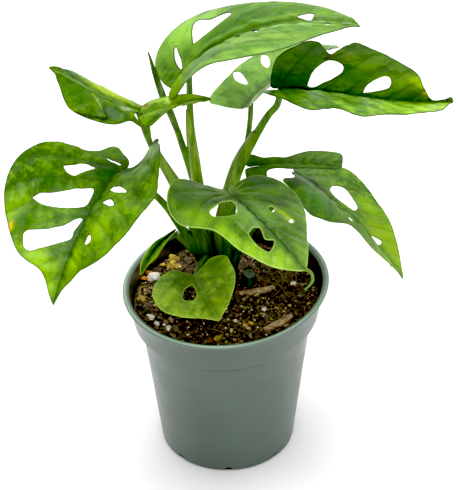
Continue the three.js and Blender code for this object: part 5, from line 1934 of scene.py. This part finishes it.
BLADES = (Blade(
    "leaf_front_left", FRONT_LEFT, (-48.5, -17, 182.5), 84.5, 36,
    (232, 48, -30), (1, -50, 14), (10, 3), (15, 4), (29, 1, -7), (-5, 31),
    ((3.5, -7.5), (18, -11.5), (22, -1), (40.5, 11), (43, 35), (26, 62), (10.5, 70), (3.5, 80)),
    ((8, -4.5), (16, -10.5), (23, 0.5), (37.3, 9.3), (39.6, 19), (39.6, 34), (26, 58.5), (11, 68), (2, 78)),
    (
        ((24.5, 15.5), (21, 11.8), (18, 8), (11.5, 7.8), (14, 10.8), (15.5, 13.8), (17, 16.8), (21, 17.3)),
        ((27.5, 37), (25, 32.8), (18.5, 28.3), (13.5, 24.3), (4.8, 19.2), (3, 25.3), (3.5, 30.3), (9.5, 34.3),
         (16, 36.3), (22, 37.5)),
        ((24.3, 55), (22.5, 51.8), (13.5, 47.8), (8, 43.8), (3, 37.6), (1.1, 38), (2.3, 45.5), (2.5, 50),
         (8, 54.3), (14, 58.3), (18.5, 61.3), (22, 60.5)),
        ((-4, 17.3), (-6, 15.3), (-11, 17), (-19.5, 22.3), (-15, 22.3), (-9.5, 20.8)),
        ((-6.5, 27.8), (-8.5, 25.8), (-12, 26.8), (-16, 30.8), (-14, 31.3), (-10, 29.8)),
        ((-7.5, 52.8), (-7.3, 49.8), (-8.5, 47.8), (-11, 49.8), (-11.5, 52.3), (-9.5, 53.3)),
        ((15.5, -1.2), (10, -2.4), (4.8, -2.9), (4.6, -1.6), (9.5, -1.1)),
    ), spacing=11.5, quilt=0.8, wave=1.0, seed=2,
    creases=(Crease((-3, 0), (-1.5, 14), 1.2, 1.6), Crease((2.6, 0), (2, 30), -0.9, 1.5)),
), Blade(
    "leaf_upper_left", UPPER_LEFT, (-40, -8, 211.5), 50, 18.5,
    (189, -4, -12), (28, 4, 8), (8, -14), (14, -8), (-44, -44, -5), (-1, -1),
    ((4, -1.8), (8.5, -3), (13, -2.5), (17.5, 1.5), (18, 9), (18, 19), (14, 33), (7, 42), (3, 47.5)),
    ((3.5, 1), (7.2, 4.2), (11, 3.6), (16, 0.8), (15.4, 3.4), (14.2, 7.2), (19, 16), (17.5, 34), (7, 43),
     (1.5, 46.5)),
    spacing=7, quilt=0.1, wave=0.5, seed=3,
    creases=(Crease((0, 8), (0, 44), 1.0, 1.6), Crease((-1, 25), (-16, 19.5), 0.9, 1.4),
             Crease((-11.5, 16), (-11, 13), -1.2, 3.5)),
), Blade(
    "leaf_upper_small", UPPER_SMALL, (-37.5, -12.4, 212.8), 33.5, 12,
    (10, -16, -4), (14, -7, 5), (-8, -16), (6, 18), (-25, -18, 22), (0, 0),
    ((1.4, -3), (5, -3.2), (9.5, -2.4), (13, 1), (12.6, 6), (10.2, 14), (8, 22.5), (3.5, 27), (1.5, 30.5)),
    ((1.6, -1.8), (4.5, -1.5), (9, 0.2), (12.2, 4.5), (10.8, 13), (8.2, 22), (4.5, 28), (2, 32)),
    spacing=5, quilt=0.3, wave=0.2, seed=4,
), Blade(
    "leaf_top", TOP, (-16.5, 8, 223), 93.5, 37.5,
    (-3, -20, 18), (53, -75, 13), (4, -9), (38, -25), (-19, -53, -37), (-16, 1),
    ((4.5, -7.5), (14.5, -9.6), (24.5, -4.5), (34.5, 15), (37, 40), (29.5, 61.5), (15, 79), (4.5, 88.5)),
    ((2, -12.5), (18.5, -12.5), (30.5, -2), (38.5, 15.5), (37, 40.5), (32, 61.5), (14, 78), (5, 89)),
    (
        ((-17, 1), (-8, 0.5), (-3.5, -1.5), (-8, -2.5), (-16, -0.5)),
        ((-10, 9.5), (-27, 11.5), (-21, 19), (-20.5, 27.5), (-16.5, 29.5), (-11, 19)),
        ((-2, 63.5), (-6, 67.5), (-5, 71), (-0.8, 70)),
        ((1.2, 32.6), (1.2, 35.4), (5, 36), (11, 37.2), (6, 34)),
        ((1, 41.2), (1.2, 44), (4, 45.6), (9.5, 45.4), (5.5, 42.6)),
        ((0.9, 76.2), (0.9, 79), (4, 78.8), (4, 76.4)),
    ), spacing=12, quilt=0.5, seed=5,
    creases=(Crease((-2, 14), (-3, 88), 1.6, 2.2), Crease((-10, 34), (-3, 44), 0.9, 1.6),
             Crease((-12, 52), (-3, 62), 0.9, 1.6)),
), Blade(
    "leaf_right", RIGHT, (29, 4.5, 214.5), 94.5, 31,
    (15, -8, 11), (-10, -34, 38), (36, 8), (63, -2), (-34, -1, -4), (2, 1),
    ((2, -10.5), (15.5, -11.5), (29, 2.5), (27, 14), (24.6, 19.5), (25.8, 25), (27.6, 30), (27.2, 36),
     (22.8, 47), (17.8, 63), (11.5, 82), (3.5, 90)),
    ((2, -5.5), (18.5, -6), (28.5, 4), (29.5, 10.5), (27, 14), (23.3, 18.3), (25.8, 20.8), (30, 25), (31.5, 32),
     (21, 63.5), (10.5, 74), (4, 79.5), (1.5, 83), (2, 88.5), (3.4, 92.4)),
    (
        ((-3, 13), (-12, 13.5), (-19.5, 18.5), (-18, 26), (-12, 27), (-3, 17.5)),
        ((-2.5, 43), (-9, 43.5), (-15, 49), (-14, 53.5), (-8, 55), (-4.5, 49)),
    ), spacing=11.5, quilt=0.7, wave=0.6, seed=6,
), Blade(
    "leaf_rear", REAR, (14.5, 32, 191), 70.5, 25.5,
    (52, -8, -4), (18, -32, -3), (-22, 6), (23, -5), (2, -19, -3), (3, 0),
    ((3, -6.5), (14.5, -9.5), (23, -5.5), (24.5, 12), (24.5, 29.5), (18, 46.5), (9.5, 59), (3, 67.5)),
    ((2, -6.5), (14.5, -8.5), (23, -6), (24.5, 11.5), (25, 29), (18, 46.5), (9.5, 59), (3, 67.5)),
    (
        ((-20.5, 34), (-17, 34.5), (-10.5, 29.5), (-8, 25), (-12, 25.5), (-17, 29.5)),
        ((-24, 15.5), (-20.5, 16.5), (-14.5, 13.5), (-8.5, 9), (-15, 9), (-20, 11.5)),
        ((16, 28), (8, 19), (4.5, 17), (6, 22), (12, 28)),
        ((17, 11), (9, 6), (4, 5), (6, 9), (12, 12)),
    ), spacing=9, seed=7,
), Blade(
    "leaf_lower_right", LOWER_RIGHT, (41, 26.3, 148.2), 75.8, 30.8,
    (-39, -9, 3), (-13, -33, 10), (-29, -5), (4, 13), (-43, 18, 1), (-1, 0),
    ((0.6, -5.8), (4, -3), (9, -0.4), (16.5, -2.2), (19.5, 3.5), (22.5, 9), (27.6, 22), (25.6, 28.5),
     (22, 33.5), (14, 37.8), (11.4, 41), (11, 46), (12.2, 52), (11.5, 59), (8, 65), (3, 71.5)),
    ((2, -7), (8, -9.5), (17, -6.5), (26.5, 0), (32.4, 8), (31.6, 18.5), (27.2, 31.5), (22, 46.5), (12, 62),
     (3.5, 72)),
    (
        ((-6, 14.8), (-12.2, 13.2), (-17.8, 17.3), (-14.3, 26.5), (-11.2, 31), (-6, 31), (-4.6, 20.4)),
        ((6, 24.8), (3.6, 26), (2.6, 29.8), (4.6, 30.4)),
        ((4.8, 33.4), (4.4, 36.6), (6.8, 38), (7, 35.4)),
        ((-1.8, 47.5), (-5.8, 53.2), (-1.2, 54.2)),
    ), spacing=9.5, seed=8,
), Blade(
    "leaf_inner_right", INNER_RIGHT, (22, 21.5, 159.6), 39.5, 8.5,
    (7, -11, -3), (3, -16, 5), (4, 6), (14, 5), (-10, 2, 5), (-3, 1),
    ((0.4, -5), (0.9, -10), (5, -13.4), (9.4, -12.5), (11.5, -7), (10, -1.2), (5.8, -0.3), (5.2, 3.5), (6.3, 8),
     (7.6, 14), (6.5, 28), (5.4, 37), (3, 39.1)),
    ((0.4, -5), (0.9, -9.6), (5.5, -10.6), (6.3, -6), (3.9, -0.5), (3.7, 5), (3, 10.5), (5.2, 17), (6.8, 23.5),
     (7, 36), (5.2, 39)),
    spacing=6, quilt=0.25, wave=0.25, seed=9,
), Blade(
    "leaf_front", FRONT, (4.5, -13, 165), 62, 35,
    (-60, 8, 3), (6, -30, -5), (-12, -4), (5, -12), (-18, -19, -5), (4, 2),
    ((2.5, -7), (20, -14.5), (37, -1.5), (39, 12.5), (26.5, 24), (22.5, 39.5), (15, 53), (4.5, 60.5)),
    ((2.5, -6.5), (20, -14), (33.5, -1.5), (36, 12), (31.5, 25.5), (22.5, 39.5), (13, 51.5), (4.5, 59.5)),
    (
        ((15.4, 9.4), (8.9, 6.4), (4.4, 7.4), (6.2, 13.2), (9.8, 18.2), (14.9, 18.9), (21.2, 16.1), (20.9, 12.2)),
        ((12.5, 32), (5, 31.5), (7, 38.5), (3.5, 41.5), (11, 46), (13.5, 39)),
        ((-10.1, 17.6), (-12.8, 16.9), (-13.3, 19), (-10.8, 21.9), (-9.1, 21.2)),
        ((-15.6, 29.9), (-19.1, 27.7), (-19.3, 29.9), (-16.6, 31)),
    ),
    ((38.6, -61.4, 153.8), (41.3, -61.5, 152), (42.4, -61.3, 148), (41.4, -60.8, 144), (38.8, -60.5, 140.8)),
    spacing=8, quilt=0.35, wave=0.6, seed=10,
    creases=(Crease((6, 20), (9.5, 31), 1.8, 2.2), Crease((0, 4), (0, 50), -0.7, 1.2),
             Crease((14, 26), (13, 31), -1.0, 1.6)),
), Blade(
    "leaf_low_heart", LOW_HEART, (-15.5, -16, 117), 36.5, 22,
    (-76, 12, -2), (2, -13), (11, 9), (10, -4), (-8, 12, -3), (0, 0),
    ((4.5, -3.5), (10.5, -7), (19, -2), (24, 6), (22.5, 16.5), (15, 25), (7.5, 30), (2, 34.5)),
    ((4.5, -2.5), (11.5, -6.5), (18.5, -1.5), (19.5, 6), (19, 16), (15, 24), (8.5, 31), (2.5, 35)),
    (((3, 7), (8, 9.5), (10.5, 15), (6.5, 18), (3, 14.5)),),
    spacing=6, quilt=0.3, wave=0.3, seed=11,
), Blade(
    "leaf_rim_left", RIM_LEFT, (-25.5, 6, 128), 30, 6,
    (220, 14, 9), (-6, -31, -2), (-20, -5), (74, -12), (4, -16, -12), (0, 0),
    ((1.2, -0.8), (2.4, -0.6), (2.8, 6), (5, 13.5), (4.5, 20), (4, 25), (1.5, 28.5)),
    ((1.6, -0.8), (4, 0), (6, 5.5), (6.5, 13), (6.5, 19), (2.5, 25), (1.5, 28.5)),
    spacing=5, quilt=0.2, wave=0.15, seed=12, mesh_step=0.8,
))


STEM_GREEN = StemFinish("petiole_green", linear(50, 92, 14), linear(98, 136, 30))
SHEATH_GREEN = StemFinish("sheath_green", linear(60, 96, 12), linear(112, 142, 34))
SHEATH_PALE = StemFinish("sheath_pale", linear(78, 114, 14), linear(132, 160, 46))

UPPER_LEFT_STALK = (
    ((-8, 17, 100), (-15, 12, 128), (-23.5, 6, 156), (-32, 1.5, 177.5), (-36.5, -2.5, 191), (-38.3, -4.5, 199)),
    (3.2, 3.2, 3.1, 3, 2.1, 1.5, 1.5),
)
TOP_STALK = (
    ((-5.5, 26, 98), (-9.5, 22, 121), (-12.8, 19, 149), (-14, 17, 164), (-15.7, 13, 186.5), (-15.8, 10, 206)),
    (3.6, 3.2, 2.9, 2.5, 1.8, 1.5),
)
RIGHT_STALK = (
    ((0.5, 14, 100), (-1.2, 13, 126), (2.6, 11.8, 146), (7, 10.5, 163),
     (11, 9.5, 174), (15.8, 8.3, 184), (23, 6.5, 198.6), (27.3, 5.6, 205)),
    (3.4, 3.4, 3.3, 3.2, 3.2, 3.2, 2.2, 1.8, 1.7),
)

STEMS = (
    Stem("stem_left", (-9, 17), 106, (
        Petiole(((-9, 17, 96), (-13, 14, 110), (-18, 10, 121), (-23, 6, 133), (-30, -1, 151), (-41, -12, 172)),
                (2.8, 2.3, 1.8, 1.5), "leaf_front_left"),
        Petiole(*UPPER_LEFT_STALK, "leaf_upper_left"),
        Petiole(((-31.5, 1.5, 177.5), (-35.8, -2.2, 190), (-36.4, -4.5, 199)), (1.4, 1.3, 1.1), "leaf_upper_small"),
        Petiole(((-8, 15, 98), (-9, 9, 109), (-11, 1, 114.5), (-13.5, -8, 116)), (1.8, 1.5, 1.2), "leaf_low_heart"),
        Petiole(((-11, 16, 98), (-14.5, 12, 108), (-19.5, 8.5, 118)), (1.6, 1.4, 1.1), "leaf_rim_left"),
    ), (Sheath(*UPPER_LEFT_STALK, 0.02, 0.9, -30, 100, 0.7, 0.3),), STEM_GREEN, SHEATH_GREEN),
    Stem("stem_middle", (-5, 27), 108, (
        Petiole(*TOP_STALK, "leaf_top"),
        Petiole(((-6, 27, 100), (-10.5, 23, 128), (-14.5, 20, 148), (-17.9, 17, 164.5), (-22.6, 13, 186.5)),
                (3, 2.8, 2.3, 1.9, 1.7)),
    ), (Sheath(*TOP_STALK, 0.02, 0.95, 205, 120, 0.9, 0.2),), STEM_GREEN, SHEATH_PALE),
    Stem("stem_right", (3, 14), 106, (
        Petiole(*RIGHT_STALK, "leaf_right"),
        Petiole(((2, 16, 100), (3.6, 17.5, 124), (6, 18.5, 147), (8.9, 20.5, 158), (11.6, 23, 167), (14, 28, 180)),
                (2.4, 2.2, 2, 1.8, 1.5, 1.4), "leaf_rear"),
        Petiole(((4, 14, 99), (8, 16, 112), (16.5, 18.5, 124.5), (26, 21.5, 134), (37, 25.5, 141)),
         (2.6, 2.4, 2.1, 1.5),
                "leaf_lower_right"),
        Petiole(((1, 12, 104), (1.5, 5, 126), (3, -4, 148)), (2.2, 2, 1.7), "leaf_front"),
        Petiole(((4, 15, 102), (10, 17, 125), (17, 18.5, 145)), (1.9, 1.6, 1.3), "leaf_inner_right"),
    ), (Sheath(*RIGHT_STALK, 0.02, 0.83, 215, 95, 0.6, 0.4),), STEM_GREEN, SHEATH_GREEN),
)

SPEAR = RolledLeaf(
    ((-22.8, 12.9, 187.1), (-26, 11, 199), (-29, 9, 209), (-32, 7, 222), (-35, 4, 237)), (1.6, 2, 1.8, 1.3, 0.4),
    StemFinish("spear_green", linear(34, 70, 14), linear(92, 124, 40)),
)

PEBBLES = tuple(Pebble(*row) for row in (
    ("perlite_1", 3.2, (-38, 15.5), (1.1, 1, 0.8), 0.4),
    ("perlite_2", 1.5, (-38.5, -17.5), (1, 1.2, 0.9), 1.1),
    ("perlite_3", 1.3, (-35.5, -23.5), (1.2, 1, 0.9), 2.3),
    ("perlite_4", 1.4, (-29.5, -27), (1.2, 1, 0.8), 0.9),
    ("perlite_5", 1.3, (20, -14), (1, 1, 0.9), 0.2),
    ("perlite_6", 1.5, (36, 8), (1, 1.1, 0.8), 1.9),
    ("bark_chip_1", 2.4, (-27.5, 31.5), (1.3, 0.8, 0.6), 0.3, 0.35),
    ("bark_chip_2", 2.6, (-27.5, 25.5), (1.6, 0.8, 0.6), 2.9, 0.35),
    ("bark_chip_3", 2.2, (-44, -3), (1, 1.1, 0.7), 1.3, 0.35),
    ("bark_chip_4", 2, (-4, -36), (1.3, 0.8, 0.6), 0.8, 0.35),
    ("bark_chip_5", 2.2, (28, 24), (1.3, 0.9, 0.6), 1.7, 0.35),
))
ORANGE = linear(196, 132, 44)
STRAW = linear(206, 186, 70)
BONE = linear(238, 232, 208)
TAN = linear(198, 164, 108)
# The crumbs' display colours and how often each comes up.
CRUMB_TINTS = (
    ((32, 28, 22), 14), ((64, 54, 40), 12), ((112, 96, 70), 8), ((156, 136, 98), 6.5), ((146, 94, 50), 1.6),
    ((180, 152, 92), 3), ((214, 192, 138), 2.4), ((240, 232, 204), 2.6), ((186, 170, 58), 2), ((112, 116, 44), 1.4),
)
# The larger crumbs: each one's x, y, half size and colour.
PLACED = (
    (-42.6, 14.6, 1.8, ORANGE), (-40.2, 19.6, 1.7, ORANGE), (-28.4, 34.6, 1.6, STRAW), (-33.2, 27.4, 1.4, STRAW),
    (-27.9, 28.4, 1.6, STRAW), (-40.2, -15.8, 0.9, BONE), (-38.6, -19.6, 0.8, BONE), (-31.6, -24.0, 0.9, BONE),
    (4.8, -22.1, 1.2, BONE), (1.2, -20.3, 0.8, BONE), (38.4, -5.4, 0.7, BONE), (9.9, -26.4, 1.4, TAN),
    (13.0, -24.8, 1.3, STRAW), (11.3, -28.9, 1.1, TAN), (33.5, -10.3, 1.0, TAN),
)
# The looped roots: the points of each, with heights over the soil, and its radii.
ROOTLETS = (
    (((-41.6, 7.0, 0.8), (-44.4, 5.4, 1.4), (-45.0, 0.5, 1.2), (-44.4, -4.5, 1.0), (-41.8, -6.0, 0.8)),
     (0.7, 1.0, 0.7)),
    (((24.9, 15.9, 0.6), (28.2, 18.0, 1.8), (30.6, 10.4, 2.4), (28.7, 2.7, 1.2), (24.9, -1.5, 0.5)),
     (0.2, 0.35, 0.15)),
    (((22.9, 18.6, 0.5), (27.0, 10.0, 1.6), (31.7, -1.5, 1.4), (34.7, -6.1, 0.5)), (0.2, 0.3, 0.15)),
    (((19.5, 12.6, 0.5), (25.0, 8.5, 1.6), (29.6, 6.4, 1.0), (33.0, 1.0, 0.5)), (0.2, 0.3, 0.15)),
    (((-9.0, -28.5, 0.5), (-5.6, -30.4, 1.2), (-1.0, -33.0, 0.5)), (0.2, 0.4, 0.2)),
)
STRIPS = (
    BarkStrip("bark_strip_1", (7.5, 0.5), (26, 5.5), 4.2, 1.6, 0.3, 1.5),
    BarkStrip("bark_strip_2", (20, -31.5), (34, -20.5), 4.4, 1.7, 0.4, 5.5),
)


def main() -> None:
    """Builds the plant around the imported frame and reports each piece."""
    logging.basicConfig(level=logging.INFO, format="%(name)s: %(message)s")
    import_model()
    Studio().build()
    for part in (*BLADES, *STEMS, SPEAR, CutStump()):
        part.dress()
    pot = NurseryPot()
    pot.dress()
    mix = PottingMix(pot)
    mix.dress()
    finishes = {
        Slot.PERLITE: GrainFinish("white_grain", linear(196, 188, 168), linear(246, 242, 232), 900, 0.8, 0.0003),
        Slot.BARK: GrainFinish("bark_chip", linear(126, 100, 36), linear(196, 172, 78), 700, 0.8, 0.0004),
    }
    lumps = {slot: finish.make() for slot, finish in finishes.items()}
    flake = GrainFinish("bark_flake", linear(112, 86, 58), linear(204, 174, 134), 500, 0.8, 0.0005, (0.5, 1.0, 1.0))
    bark = flake.make()
    for pebble in PEBBLES:
        pebble.dress(mix, lumps[pebble.slot])
    for strip in STRIPS:
        strip.dress(mix, bark)


if __name__ == "__main__":
    main()
